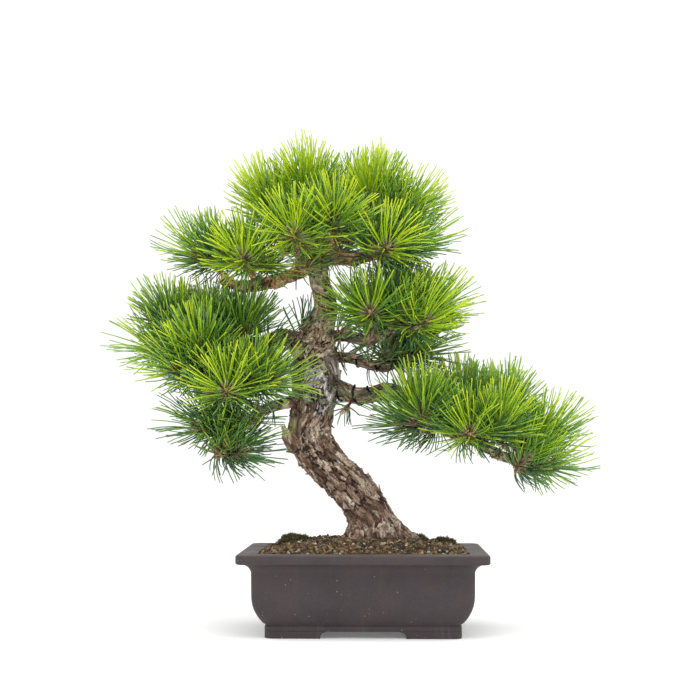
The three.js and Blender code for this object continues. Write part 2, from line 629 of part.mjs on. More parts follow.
// A wire wound round a limb from one share of its length to another.
const buildWire = (limbName, from, to, turns) => {
  const limb = limbSamples[limbName];
  const samples = [];
  const steps = Math.round(turns * WIRE_STEPS);
  for (let i = 0; i <= steps; i += 1) {
    const place = THREE.MathUtils.lerp(from, to, i / steps) * (limb.length - 1);
    const low = limb[Math.floor(place)];
    const high = limb[Math.min(limb.length - 1, Math.floor(place) + 1)];
    const t = place - Math.floor(place);
    const angle = (2 * Math.PI * i) / WIRE_STEPS;
    const off = THREE.MathUtils.lerp(low.radius, high.radius, t) * (1 + MAX_LUMP) + GAP + WIRE_RADIUS;
    const at = low.at.clone().lerp(high.at, t);
    at.addScaledVector(low.side.clone().lerp(high.side, t).normalize(), off * Math.cos(angle));
    at.addScaledVector(low.up.clone().lerp(high.up, t).normalize(), off * Math.sin(angle));
    samples.push({ at, radius: WIRE_RADIUS });
  }
  return toGeometry(tube(addFrames(samples), WIRE_SIDES, 0, false));
};

const WIRES = {
  wire_left: { limb: 'branch_left', from: 0.21, to: 0.31, turns: 2, look: copperWire },
  wire_right_low: { limb: 'branch_right_low', from: 0.62, to: 0.86, turns: 2, look: blackWire },
  wire_cascade: { limb: 'branch_cascade', from: 0.14, to: 0.25, turns: 2, look: blackWire },
};

// ---------------------------------------------------------------- assembly

const tree = new THREE.Group();
const add = (name, geometry, look) => {
  const mesh = new THREE.Mesh(geometry, look);
  mesh.name = name;
  tree.add(mesh);
};

add('pot', buildPot(), clay);
add('drain_screen_left', buildDrainScreen(-1), screenPlastic);
add('drain_screen_right', buildDrainScreen(1), screenPlastic);
add('drainage_gravel', buildGravel(), gravelGrit);

const trunkGrown = trunkSolid(GAP);
add('soil', toGeometry(biggest(soilSolid(0).subtract(trunkGrown))), akadama);
const soilLifted = soilSolid(GAP);
for (const [name, patch] of Object.entries(MOSS)) add(name, buildMoss(patch, soilLifted, trunkGrown), mossGreen);

add('trunk', toGeometry(biggest(trunkSolid(0))), oldBark);
let woodGrown = trunkGrown;
for (const [name, limb] of Object.entries(LIMBS)) {
  add(name, toGeometry(biggest(limbSolid(name, 0).subtract(woodGrown))), limb.bark);
  woodGrown = woodGrown.add(limbSolid(name, GAP));
}
for (const [name, wire] of Object.entries(WIRES)) {
  add(name, buildWire(wire.limb, wire.from, wire.to, wire.turns), wire.look);
}
Object.keys(TUFTS).forEach((name, index) => add(name, buildTuft(name, index), TUFTS[name][3]));

const box = new THREE.Box3().setFromObject(tree);
const middle = box.getCenter(new THREE.Vector3());
tree.position.set(-middle.x, -middle.y, -box.min.z);

const part = new THREE.Group();
part.add(tree);

export default part;
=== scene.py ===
"""A Japanese black pine bonsai in an unglazed pot, dressed around its measured frame."""

import json
import math

import bmesh
import bpy
import numpy as np
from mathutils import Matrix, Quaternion, Vector, noise
from mathutils.bvhtree import BVHTree

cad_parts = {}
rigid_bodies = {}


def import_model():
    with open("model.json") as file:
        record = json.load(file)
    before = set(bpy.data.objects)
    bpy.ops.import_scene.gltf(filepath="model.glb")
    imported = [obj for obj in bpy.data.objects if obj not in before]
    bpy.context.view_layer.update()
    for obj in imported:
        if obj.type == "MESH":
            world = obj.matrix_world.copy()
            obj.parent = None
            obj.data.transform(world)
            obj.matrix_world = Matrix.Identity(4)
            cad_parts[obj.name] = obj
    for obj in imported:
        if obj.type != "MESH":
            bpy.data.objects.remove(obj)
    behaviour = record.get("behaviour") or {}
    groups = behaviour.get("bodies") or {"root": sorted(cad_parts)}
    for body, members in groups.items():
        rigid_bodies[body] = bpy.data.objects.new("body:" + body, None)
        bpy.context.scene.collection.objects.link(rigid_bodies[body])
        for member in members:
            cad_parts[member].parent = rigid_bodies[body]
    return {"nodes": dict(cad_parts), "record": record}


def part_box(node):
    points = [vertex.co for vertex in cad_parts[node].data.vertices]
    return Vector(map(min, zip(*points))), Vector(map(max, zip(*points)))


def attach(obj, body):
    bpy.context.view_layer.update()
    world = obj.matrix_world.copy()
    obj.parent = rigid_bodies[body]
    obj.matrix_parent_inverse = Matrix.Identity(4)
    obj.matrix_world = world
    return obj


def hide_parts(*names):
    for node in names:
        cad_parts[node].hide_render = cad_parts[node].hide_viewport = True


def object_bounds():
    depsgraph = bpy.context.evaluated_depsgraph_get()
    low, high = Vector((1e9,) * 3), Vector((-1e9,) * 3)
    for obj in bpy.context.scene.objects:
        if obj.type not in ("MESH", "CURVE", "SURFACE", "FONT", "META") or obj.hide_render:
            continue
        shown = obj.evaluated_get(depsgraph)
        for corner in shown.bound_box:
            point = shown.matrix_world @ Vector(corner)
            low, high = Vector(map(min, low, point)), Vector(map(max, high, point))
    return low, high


bl_info = {
    "name": "Pine Bonsai",
    "version": (1, 0, 0),
    "blender": (4, 5, 0),
    "location": "3D View > Sidebar > Bonsai",
    "description": "Builds a black pine bonsai, its pot and its soil around a measured frame",
    "category": "Add Mesh",
}

for leftover in list(bpy.data.objects):
    bpy.data.objects.remove(leftover)
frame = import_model()
CAD_BOX = [list(corner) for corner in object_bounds()]

MM = 0.001
POT_LOW, POT_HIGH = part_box("pot")
POT_MIDDLE = (POT_LOW + POT_HIGH) / 2
POT_MIDDLE.z = 0.0
SOIL_LOW, SOIL_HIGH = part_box("soil")

BRANCHES = sorted(n for n in frame["nodes"] if n.startswith("branch_"))
WOOD = ["trunk", *BRANCHES]
TUFTS = sorted(n for n in frame["nodes"] if n.startswith("needles_"))
PADS = ("crown", "left", "right", "cascade")
MOSSES = sorted(n for n in frame["nodes"] if n.startswith("moss_"))
WIRES = sorted(n for n in frame["nodes"] if n.startswith("wire_"))
SCREENS = sorted(n for n in frame["nodes"] if n.startswith("drain_screen_"))

SPINE_STEP = 0.009         # between the points of a limb's middle line
ROOT_REACH = 0.006         # how much farther from the trunk than its nearest point a limb's root reaches
SOIL_EDGE = 0.006          # how far below the lip the soil's open surface may lie
BLOCK = 20000              # points handled at a time, to spare memory
WIRE_STEPS = 26            # points in one turn of a wire
MOSS_SPACING = 0.001
MOSS_BLADE = 0.0026
CROWN_TONE = 0.84
TONES = {"needles_bright": 0.78, "needles_green": 0.67, "needles_dark": 0.5}

# places on the trunk, in metres from the middle of the pot's underside
PALE_BASE = (0.013, -0.02, 0.113)
GREY_SPOTS = [(-0.035, -0.02, 0.262, 0.022), (-0.018, -0.02, 0.29, 0.016)]
DEAD_STUBS = [(-0.0885, -0.0205, 0.2215, 0.013), (-0.0775, -0.0215, 0.3045, 0.010)]
CREASE_START, CREASE_END = np.array([-0.074, -0.02, 0.188]), np.array([-0.028, -0.03, 0.214])


# ------------------------------------------------------------------ node writing


class Sheet:
    """Short names for the nodes of one shader or geometry tree."""

    def __init__(self, tree):
        self.tree = tree

    def add(self, kind, inputs=None, **settings):
        """Makes one node; inputs maps a socket's name or number to a value or to another socket."""
        node = self.tree.nodes.new(kind)
        for name, value in settings.items():
            setattr(node, name, value)
        for key, value in (inputs or {}).items():
            self.plug(node.inputs[key], value)
        return node

    def plug(self, socket, value):
        """Links a socket to another one, or sets its value."""
        if isinstance(value, bpy.types.NodeSocket):
            self.tree.links.new(value, socket)
        else:
            socket.default_value = value

    def math(self, operation, a, b=0.0):
        return self.add("ShaderNodeMath", {0: a, 1: b}, operation=operation).outputs[0]

    def vector(self, operation, a, b=(0, 0, 0)):
        node = self.add("ShaderNodeVectorMath", {0: a}, operation=operation)
        self.plug(node.inputs["Scale" if operation == "SCALE" else 1], b)
        return node.outputs["Value" if operation in ("LENGTH", "DOT_PRODUCT") else "Vector"]

    def ease(self, value, low, high, to_low=0.0, to_high=1.0):
        """A smooth step from low to high, clamped."""
        numbers = {"Value": value, "From Min": low, "From Max": high, "To Min": to_low, "To Max": to_high}
        return self.add("ShaderNodeMapRange", numbers, interpolation_type="SMOOTHSTEP").outputs["Result"]

    def noise(self, where, scale, detail=3.0, roughness=0.55, colour=False):
        inputs = {"Vector": where, "Scale": scale, "Detail": detail, "Roughness": roughness}
        return self.add("ShaderNodeTexNoise", inputs).outputs["Color" if colour else "Fac"]

    def cells(self, where, scale, feature="F1", output="Color"):
        node = self.add("ShaderNodeTexVoronoi", {"Vector": where, "Scale": scale}, feature=feature)
        return node.outputs[output]

    def ramp(self, value, stops):
        """A colour ramp through (place, colour) stops."""
        node = self.add("ShaderNodeValToRGB", {"Fac": value})
        marks = node.color_ramp.elements
        while len(marks) < len(stops):
            marks.new(0.5)
        for mark, (place, colour) in zip(marks, stops):
            mark.position = place
            mark.color = (*colour, 1.0)
        return node.outputs["Color"]

    def blend(self, factor, a, b, mode="MIX"):
        """Colour a to colour b by the factor; each is a colour or a socket."""
        node = self.add("ShaderNodeMix", {0: factor}, data_type="RGBA", blend_type=mode)
        self.plug(node.inputs[6], a if isinstance(a, bpy.types.NodeSocket) else (*a, 1.0))
        self.plug(node.inputs[7], b if isinstance(b, bpy.types.NodeSocket) else (*b, 1.0))
        return node.outputs[2]


def new_material(name, paint):
    """Makes a material; paint(sheet, shader) wires the shader's sockets and may return a height for bump."""
    material = bpy.data.materials.new(name)
    material.use_nodes = True
    sheet = Sheet(material.node_tree)
    shader = material.node_tree.nodes["Principled BSDF"]
    bump = paint(sheet, shader)
    if bump:
        height, distance, strength = bump
        node = sheet.add("ShaderNodeBump", {"Height": height, "Distance": distance, "Strength": strength})
        sheet.plug(shader.inputs["Normal"], node.outputs["Normal"])
    return material


def object_coordinates(sheet):
    return sheet.add("ShaderNodeTexCoord").outputs["Object"]


def attribute(sheet, name, output="Fac"):
    return sheet.add("ShaderNodeAttribute", attribute_name=name).outputs[output]


# ------------------------------------------------------------------ materials


def paint_clay(sheet, shader):
    """Unglazed stoneware: purple-brown body, sandy specks, pale mineral haze low down and on the lip."""
    where = object_coordinates(sheet)
    height = sheet.add("ShaderNodeSeparateXYZ", {0: where}).outputs["Z"]
    settings = bpy.context.scene.bonsai_pot
    body = tuple(settings.clay_colour)
    cloud = sheet.noise(where, 22.0, 5.0, 0.6)
    dark = tuple(c * 0.72 for c in body)
    warm = (body[0] * 1.32, body[1] * 1.16, body[2] * 1.1)
    colour = sheet.ramp(cloud, [(0.3, dark), (0.52, body), (0.75, warm)])
    grain = sheet.noise(where, 900.0, 2.0, 0.7)
    colour = sheet.blend(sheet.ease(grain, 0.6, 0.75, 0.0, 0.5), colour, (0.12, 0.1, 0.095))
    colour = sheet.blend(sheet.ease(grain, 0.42, 0.28, 0.0, 0.6), colour, tuple(c * 0.4 for c in body))
    stretched = sheet.add("ShaderNodeMapping", {"Vector": where, "Scale": (1.0, 1.0, 0.16)}).outputs[0]
    streak = sheet.noise(stretched, 60.0, 4.0, 0.65)
    low = sheet.ease(height, 0.03, 0.006)
    haze = sheet.math("MULTIPLY", sheet.ease(streak, 0.5, 0.78), sheet.math("ADD", low, 0.22))
    colour = sheet.blend(sheet.math("MULTIPLY", haze, 0.22), colour, (0.2, 0.18, 0.17))
    chips = sheet.cells(where, 210.0, output="Distance")
    rare = sheet.add("ShaderNodeSeparateColor", {0: sheet.cells(where, 210.0)}).outputs[0]
    speck = sheet.math("MULTIPLY", sheet.ease(chips, 0.16, 0.06), sheet.ease(rare, 0.8, 0.86))
    colour = sheet.blend(sheet.math("MULTIPLY", speck, 0.6), colour, (0.4, 0.37, 0.34))
    lip = sheet.ease(height, POT_HIGH.z - 0.0016, POT_HIGH.z - 0.0002)
    dust = sheet.math("MULTIPLY", lip, sheet.ease(sheet.noise(where, 70.0, 4.0), 0.25, 0.7, 0.25, 0.75))
    colour = sheet.blend(dust, colour, (0.11, 0.092, 0.07))
    sheet.plug(shader.inputs["Base Color"], colour)
    sheet.plug(shader.inputs["Roughness"], sheet.ease(cloud, 0.2, 0.8, 0.5, 0.72))
    shader.inputs["Specular IOR Level"].default_value = 0.3
    tooth = sheet.math("ADD", grain, sheet.math("MULTIPLY", sheet.noise(where, 260.0, 3.0), 0.8))
    return tooth, 0.0004, 0.5


def paint_bark(young):
    """Cracked plates with pale flakes and painted shade in the cracks; young bark is scaly and orange."""

    def paint(sheet, shader):
        where = attribute(sheet, "bark", "Vector")
        crack = attribute(sheet, "crack")
        plate = attribute(sheet, "plate")
        flake = attribute(sheet, "flake")
        youth = attribute(sheet, "orange")
        wide = sheet.noise(where, 42.0, 3.0, 0.6)
        fibre = sheet.add("ShaderNodeMapping", {"Vector": where, "Scale": (1.0, 1.0, 0.3)}).outputs[0]
        fibre = sheet.noise(fibre, 420.0, 4.0, 0.7)
        fine = sheet.noise(where, 800.0, 3.0, 0.7)
        old = sheet.ramp(plate, [(0.0, (0.1, 0.056, 0.037)), (0.25, (0.22, 0.135, 0.093)),
                                 (0.45, (0.38, 0.275, 0.2)), (0.6, (0.26, 0.145, 0.098)),
                                 (0.8, (0.5, 0.4, 0.305)), (1.0, (0.32, 0.22, 0.155))])
        grey = sheet.ramp(plate, [(0.0, (0.15, 0.11, 0.105)), (0.45, (0.34, 0.29, 0.27)),
                                  (1.0, (0.76, 0.72, 0.7))])
        greyness = sheet.math("ADD", wide, attribute(sheet, "grey"))
        colour = sheet.blend(sheet.ease(greyness, 0.58, 0.8), old, grey)
        olive = sheet.ramp(plate, [(0.0, (0.42, 0.28, 0.165)), (0.5, (0.68, 0.51, 0.325)),
                                   (1.0, (0.86, 0.69, 0.49))])
        colour = sheet.blend(attribute(sheet, "olive"), colour, olive)
        scales = sheet.ramp(plate, [(0.0, (0.44, 0.19, 0.075)), (0.4, (0.66, 0.36, 0.165)),
                                    (0.7, (0.82, 0.55, 0.31)), (1.0, (0.54, 0.26, 0.1))])
        colour = sheet.blend(sheet.math("MAXIMUM", youth, 1.0 if young else 0.0), colour, scales)
        tan = (0.9, 0.66, 0.42) if young else (0.66, 0.56, 0.44)
        colour = sheet.blend(sheet.ease(flake, 0.66, 0.9, 0.0, 0.6), colour, tan)
        colour = sheet.blend(sheet.ease(flake, 0.34, 0.16, 0.0, 0.6), colour, (0.085, 0.045, 0.028))
        streak = sheet.ease(fibre, 0.36, 0.66, 0.48, 1.48)
        speck = sheet.math("MULTIPLY", streak, sheet.ease(fine, 0.3, 0.7, 0.72, 1.28))
        speck = sheet.add("ShaderNodeCombineColor", {0: speck, 1: speck, 2: speck}).outputs[0]
        colour = sheet.blend(1.0, colour, speck, "MULTIPLY")
        # painted shade: the bark is darkened nearly to black where the crack attribute marks cracks, flake
        # edges and the crease
        crack_shade = sheet.ease(crack, 0.08, 0.7, 0.0, 0.75 if young else 0.92)
        colour = sheet.blend(crack_shade, colour, (0.022, 0.013, 0.009))
        height = sheet.add("ShaderNodeSeparateXYZ", {0: object_coordinates(sheet)}).outputs["Z"]
        # darker towards the bottom: the bark darkens over the last 14 mm above the pot's lip, with a ragged
        # edge
        edge = sheet.math("ADD", sheet.math("MULTIPLY", sheet.math("SUBTRACT", wide, 0.5), 0.05), height)
        darker_near_soil = sheet.ease(edge, POT_HIGH.z + 0.014, POT_HIGH.z, 0.0, 0.75)
        colour = sheet.blend(darker_near_soil, colour, (0.03, 0.021, 0.015))
        wood = sheet.ramp(fibre, [(0.3, (0.28, 0.22, 0.08)), (0.55, (0.62, 0.55, 0.27)),
                                  (0.75, (0.75, 0.7, 0.5))])
        colour = sheet.blend(attribute(sheet, "deadwood"), colour, wood)
        sheet.plug(shader.inputs["Base Color"], colour)
        sheet.plug(shader.inputs["Roughness"], sheet.ease(fine, 0.3, 0.7, 0.7, 0.95))
        shader.inputs["Specular IOR Level"].default_value = 0.25
        relief = sheet.math("ADD", sheet.math("MULTIPLY", fibre, 1.4), sheet.math("MULTIPLY", fine, 0.6))
        return relief, 0.0012, 0.9

    return paint


def paint_needles(sheet, shader):
    """Waxy needles: the first coordinate is the shoot's tone, with painted light, shade and highlight streaks
    in it; the second runs from sheath to tip.
    """
    spot = sheet.add("ShaderNodeUVMap", uv_map="OFBake").outputs["UV"]
    parts = sheet.add("ShaderNodeSeparateXYZ", {0: spot})
    tone, along = parts.outputs["X"], parts.outputs["Y"]
    green = sheet.ramp(tone, [(0.0, (0.02, 0.044, 0.028)), (0.22, (0.036, 0.1, 0.05)),
                              (0.45, (0.095, 0.255, 0.055)), (0.7, (0.24, 0.45, 0.022)),
                              (0.95, (0.5, 0.67, 0.014))])
    tip = sheet.blend(1.0, green, (1.25, 1.12, 1.0), "MULTIPLY")
    colour = sheet.blend(sheet.ease(along, 0.45, 1.0), green, tip)
    colour = sheet.blend(sheet.ease(along, 0.28, 0.17), colour, (0.5, 0.53, 0.26))
    colour = sheet.blend(sheet.ease(along, 0.17, 0.11), colour, (0.6, 0.34, 0.22))
    colour = sheet.blend(sheet.ease(along, 0.975, 1.0, 0.0, 0.7), colour, (0.42, 0.3, 0.1))
    sheet.plug(shader.inputs["Base Color"], colour)
    sheet.plug(shader.inputs["Roughness"], sheet.ease(along, 0.05, 0.12, 0.8, 0.32))
    shader.inputs["Specular IOR Level"].default_value = 0.5


def paint_bud(sheet, shader):
    """Overlapping red-brown scales edged with pale resin."""
    where = object_coordinates(sheet)
    scales = sheet.cells(where, 700.0, output="Distance")
    colour = sheet.ramp(scales, [(0.0, (0.34, 0.12, 0.06)), (0.4, (0.5, 0.22, 0.12)),
                                 (0.7, (0.8, 0.64, 0.52))])
    resin = sheet.ease(sheet.noise(where, 350.0), 0.55, 0.7, 0.0, 0.6)
    colour = sheet.blend(resin, colour, (0.7, 0.6, 0.52))
    sheet.plug(shader.inputs["Base Color"], colour)
    sheet.plug(shader.inputs["Roughness"], sheet.ease(scales, 0.2, 0.7, 0.45, 0.8))
    return scales, 0.0005, 0.6


def paint_grains(sheet, shader):
    """Fired clay, pumice and dark lava: the first coordinate picks the stone."""
    spot = sheet.add("ShaderNodeUVMap", uv_map="OFBake").outputs["UV"]
    tone = sheet.add("ShaderNodeSeparateXYZ", {0: spot}).outputs["X"]
    stones = [(0.0, (0.012, 0.011, 0.009)), (0.14, (0.032, 0.024, 0.014)), (0.24, (0.13, 0.062, 0.022)),
              (0.34, (0.27, 0.135, 0.045)), (0.44, (0.055, 0.048, 0.026)), (0.54, (0.24, 0.15, 0.065)),
              (0.62, (0.1, 0.095, 0.06)), (0.7, (0.45, 0.36, 0.23)), (0.76, (0.035, 0.022, 0.012)),
              (0.86, (0.012, 0.01, 0.008)), (0.92, (0.19, 0.12, 0.055)), (1.0, (0.66, 0.6, 0.49))]
    colour = sheet.ramp(tone, stones)
    sheet.plug(shader.inputs["Base Color"], colour)
    shader.inputs["Roughness"].default_value = 0.95
    where = object_coordinates(sheet)
    return sheet.noise(where, 1400.0, 3.0, 0.7), 0.0003, 0.6


def paint_earth(sheet, shader):
    """Damp dark earth, crumbly."""
    where = object_coordinates(sheet)
    crumbs = sheet.cells(where, 420.0, output="Distance")
    cloud = sheet.noise(where, 300.0, 4.0)
    colour = sheet.ramp(cloud, [(0.3, (0.02, 0.013, 0.008)), (0.7, (0.075, 0.046, 0.024))])
    sheet.plug(shader.inputs["Base Color"], colour)
    sheet.plug(shader.inputs["Roughness"], sheet.ease(crumbs, 0.0, 0.6, 0.9, 1.0))
    return crumbs, 0.001, 0.8


def paint_moss(sheet, shader):
    """Half-dry moss, from nearly black to olive and straw."""
    where = object_coordinates(sheet)
    colour = sheet.ramp(sheet.noise(where, 420.0, 4.0, 0.7), [
        (0.3, (0.02, 0.018, 0.01)), (0.45, (0.085, 0.075, 0.03)), (0.56, (0.16, 0.145, 0.05)),
        (0.7, (0.27, 0.17, 0.085))])
    sheet.plug(shader.inputs["Base Color"], colour)
    sheet.plug(shader.inputs["Roughness"], sheet.ease(sheet.noise(where, 90.0), 0.3, 0.7, 0.8, 1.0))
    return sheet.noise(where, 1200.0, 3.0, 0.7), 0.0005, 0.8


def paint_wire(colour):
    """Anodised aluminium, dull, with scuffs along its length."""

    def paint(sheet, shader):
        where = object_coordinates(sheet)
        scuff = sheet.noise(where, 420.0, 4.0, 0.7)
        bright = tuple(min(1.0, c * 2.6 + 0.06) for c in colour)
        worn = sheet.ease(scuff, 0.58, 0.72, 0.0, 0.5)
        sheet.plug(shader.inputs["Base Color"], sheet.blend(worn, colour, bright))
        sheet.plug(shader.inputs["Roughness"], sheet.ease(scuff, 0.3, 0.7, 0.32, 0.55))
        shader.inputs["Metallic"].default_value = 0.7
        return scuff, 0.0002, 0.4

    return paint


def paint_screen(sheet, shader):
    """Black moulded plastic with dried earth on it."""
    where = object_coordinates(sheet)
    grime = sheet.noise(where, 300.0, 3.0)
    colour = sheet.blend(sheet.ease(grime, 0.45, 0.7), (0.018, 0.02, 0.022), (0.1, 0.07, 0.04))
    sheet.plug(shader.inputs["Base Color"], colour)
    sheet.plug(shader.inputs["Roughness"], sheet.ease(grime, 0.3, 0.7, 0.4, 0.85))
    return grime, 0.0002, 0.4


def paint_grit(sheet, shader):
    """Coarse stones of mixed tone."""
    where = object_coordinates(sheet)
    stone = sheet.cells(where, 190.0)
    tone = sheet.add("ShaderNodeSeparateColor", {0: stone}).outputs[0]
    colour = sheet.ramp(tone, [(0.0, (0.16, 0.12, 0.09)), (0.5, (0.34, 0.29, 0.24)),
                               (1.0, (0.6, 0.55, 0.48))])
    sheet.plug(shader.inputs["Base Color"], colour)
    shader.inputs["Roughness"].default_value = 0.95
    return sheet.cells(where, 190.0, output="Distance"), 0.002, 0.9


def paint_floor(sheet, shader):
    """Near-white board, lit a little from within so that it stays pale."""
    where = object_coordinates(sheet)
    colour = sheet.ramp(sheet.noise(where, 1.5, 2.0), [(0.3, (0.9, 0.9, 0.9)), (0.7, (0.92, 0.92, 0.92))])
    sheet.plug(shader.inputs["Base Color"], colour)
    shader.inputs["Roughness"].default_value = 0.9
    shader.inputs["Emission Color"].default_value = (1.0, 1.0, 1.0, 1.0)
    shader.inputs["Emission Strength"].default_value = 0.14


# ------------------------------------------------------------------ mesh helpers


def new_piece(name, mesh, material=None, smooth=True):
    """Links a finished mesh as a piece at the origin."""
    piece = bpy.data.objects.new(name, mesh)
    bpy.context.scene.collection.objects.link(piece)
    if material:
        mesh.materials.clear()
        mesh.materials.append(material)
    if smooth:
        mesh.polygons.foreach_set("use_smooth", [True] * len(mesh.polygons))
    return piece


def drop(piece):
    """Removes a piece, and its mesh when nothing else uses it."""
    mesh = piece.data
    bpy.data.objects.remove(piece)
    if mesh and not mesh.users:
        bpy.data.meshes.remove(mesh)


def frozen(piece, name, material=None, smooth=True):
    """Replaces a piece that has modifiers by its evaluated plain mesh."""
    graph = bpy.context.evaluated_depsgraph_get()
    graph.update()
    mesh = bpy.data.meshes.new_from_object(
        piece.evaluated_get(graph), preserve_all_data_layers=True, depsgraph=graph)
    drop(piece)
    return new_piece(name, mesh, material, smooth)


def frame_mesh(*nodes):
    """A bmesh of CAD nodes with their loose triangles joined up."""
    shape = bmesh.new()
    for node in nodes:
        shape.from_mesh(frame["nodes"][node].data)
    bmesh.ops.remove_doubles(shape, verts=shape.verts, dist=0.00001)
    return shape


def to_mesh(shape, name):
    """Turns a bmesh into a mesh whose faces look outward."""
    mesh = bpy.data.meshes.new(name)
    bmesh.ops.recalc_face_normals(shape, faces=shape.faces)
    shape.to_mesh(mesh)
    shape.free()
    return mesh


def add_modifier(piece, kind, **settings):
    """Puts a modifier on a piece and sets its properties."""
    modifier = piece.modifiers.new(kind.lower(), kind)
    for name, value in settings.items():
        setattr(modifier, name, value)


def grow(piece, tree, **inputs):
    """Puts a geometry tree on a piece and sets its named inputs."""
    modifier = piece.modifiers.new(tree.name, "NODES")
    modifier.node_group = tree
    for item in tree.interface.items_tree:
        key = item.name.lower().replace(" ", "_")
        if item.item_type == "SOCKET" and item.in_out == "INPUT" and key in inputs:
            modifier[item.identifier] = inputs.pop(key)
    if inputs:
        raise RuntimeError(f"{tree.name} has no inputs {sorted(inputs)}")


def new_tree(name, sizes):
    """A geometry tree with a geometry socket each way and one named input for each size."""
    tree = bpy.data.node_groups.new(name, "GeometryNodeTree")
    tree.interface.new_socket("Geometry", in_out="INPUT", socket_type="NodeSocketGeometry")
    tree.interface.new_socket("Geometry", in_out="OUTPUT", socket_type="NodeSocketGeometry")
    for label, (kind, default) in sizes.items():
        socket = tree.interface.new_socket(label, in_out="INPUT", socket_type="NodeSocket" + kind)
        if default is not None:
            socket.default_value = default
    sheet = Sheet(tree)
    return tree, sheet, sheet.add("NodeGroupInput").outputs, sheet.add("NodeGroupOutput")


def random_float(sheet, low, high, seed):
    node = sheet.add("FunctionNodeRandomValue", {2: low, 3: high, "Seed": seed}, data_type="FLOAT")
    return node.outputs[1]


def random_choice(sheet, makers, seed):
    """A random number that picks one of the makers."""
    node = sheet.add("FunctionNodeRandomValue", {4: 0, 5: len(makers) - 1, "Seed": seed}, data_type="INT")
    return node.outputs[2]


def named(sheet, name, kind="FLOAT"):
    """Reads a named attribute of the geometry."""
    return sheet.add("GeometryNodeInputNamedAttribute", {"Name": name}, data_type=kind).outputs[0]


def store(sheet, geometry, name, value, kind="FLOAT", domain="POINT"):
    """Keeps a value on the geometry as a named attribute."""
    node = sheet.add("GeometryNodeStoreNamedAttribute", {"Geometry": geometry, "Name": name},
                     data_type=kind, domain=domain)
    sheet.plug(node.inputs["Value"], value)
    return node.outputs["Geometry"]


def copy_of(sheet, maker):
    """The geometry of another piece, to plant as copies or to measure against."""
    node = sheet.add("GeometryNodeObjectInfo", {"Object": maker}, transform_space="ORIGINAL")
    return node.outputs["Geometry"]


def choice_of(sheet, makers):
    """Several pieces as instances, to be picked from by number."""
    choice = sheet.add("GeometryNodeGeometryToInstance")
    for maker in makers:
        sheet.plug(choice.inputs[0], copy_of(sheet, maker))
    return choice.outputs[0]


def realized(sheet, geometry):
    return sheet.add("GeometryNodeRealizeInstances", {"Geometry": geometry}).outputs[0]


def joined(sheet, *parts):
    both = sheet.add("GeometryNodeJoinGeometry")
    for part in parts:
        sheet.plug(both.inputs[0], part)
    return both.outputs[0]


def send_out(sheet, geometry, given, out):
    """Ends a tree: its material goes on the geometry, and the geometry goes out."""
    painted = sheet.add("GeometryNodeSetMaterial", {"Geometry": geometry, "Material": given["Material"]})
    sheet.plug(out.inputs[0], painted.outputs[0])


def ride_as(piece, slot, *nodes):
    """Hides the CAD nodes that a finished piece stands for and puts the piece on the root body; the slot is
    not used.
    """
    if nodes:
        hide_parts(*nodes)
    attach(piece, "root")


# ------------------------------------------------------------------ pot


def rounded_ring(half_x, half_y, radius, z, steps=7):
    """One level of a rounded rectangle, anticlockwise from its front right corner."""
    ring = []
    for sx, sy, start in ((1, -1, -90), (1, 1, 0), (-1, 1, 90), (-1, -1, 180)):
        for i in range(steps + 1):
            angle = math.radians(start + 90 * i / steps)
            x = sx * (half_x - radius) + radius * math.cos(angle)
            y = sy * (half_y - radius) + radius * math.sin(angle)
            ring.append((x, y, z))
    return ring


def skin(shape, rings, cap_start=True, cap_end=True):
    """Joins rings of equal length into a tube of quads, with flat ends."""
    rows = [[shape.verts.new(p) for p in ring] for ring in rings]
    for low, high in zip(rows, rows[1:]):
        for i in range(len(low)):
            j = (i + 1) % len(low)
            shape.faces.new((low[i], low[j], high[j], high[i]))
    if cap_start:
        shape.faces.new(rows[0][::-1])
    if cap_end:
        shape.faces.new(rows[-1])
    return rows


def arc(centre_out, centre_z, radius, start, end, steps):
    """Points of an arc in the (outward, up) plane, angles in degrees."""
    turn = [math.radians(start + (end - start) * i / steps) for i in range(steps + 1)]
    return [(centre_out + radius * math.cos(a), centre_z + radius * math.sin(a)) for a in turn]


def pot_profile(pot):
    """The wall's section as (half depth, z): up the outside, over the lip and down the inside."""
    half = (POT_HIGH.y - POT_LOW.y) / 2
    top = POT_HIGH.z
    foot = half - pot.lip_overhang - pot.body_taper
    belly = half - pot.lip_overhang
    under = top - pot.lip_height
    section = [(foot - 0.012, pot.foot_height), (foot - 0.0008, pot.foot_height)]
    section += [(foot, pot.foot_height + 0.0008), (foot, pot.foot_band - 0.0012)]
    section += [(foot - 0.0009, pot.foot_band - 0.0003), (foot - 0.0002, pot.foot_band + 0.0006)]
    for i in range(1, 13):
        t = i / 12
        section.append((foot + pot.body_taper * (1 - (1 - t) ** 2.2), pot.foot_band + pot.belly_rise * t))
    cove = pot.lip_overhang * 0.75
    start = under - cove
    section.append((belly + 0.0003, start))
    for i in range(1, 9):
        t = math.pi / 2 * i / 8
        section.append((belly + cove * (1 - math.cos(t)), start + cove * math.sin(t)))
    edge = 0.0022
    section += [(half - edge, under + 0.0001)]
    section += arc(half - edge, under + edge, edge, -75, 0, 4)
    section += arc(half - edge, top - edge, edge, 0, 90, 5)
    mouth = half - pot.lip_width
    section += arc(mouth + edge, top - edge, edge, 90, 180, 5)
    section += [(mouth - 0.001, top - 0.018), (mouth - 0.004, top * 0.45)]
    section += [(foot - 0.006, pot.floor_top + 0.006), (foot - 0.014, pot.floor_top)]
    return section


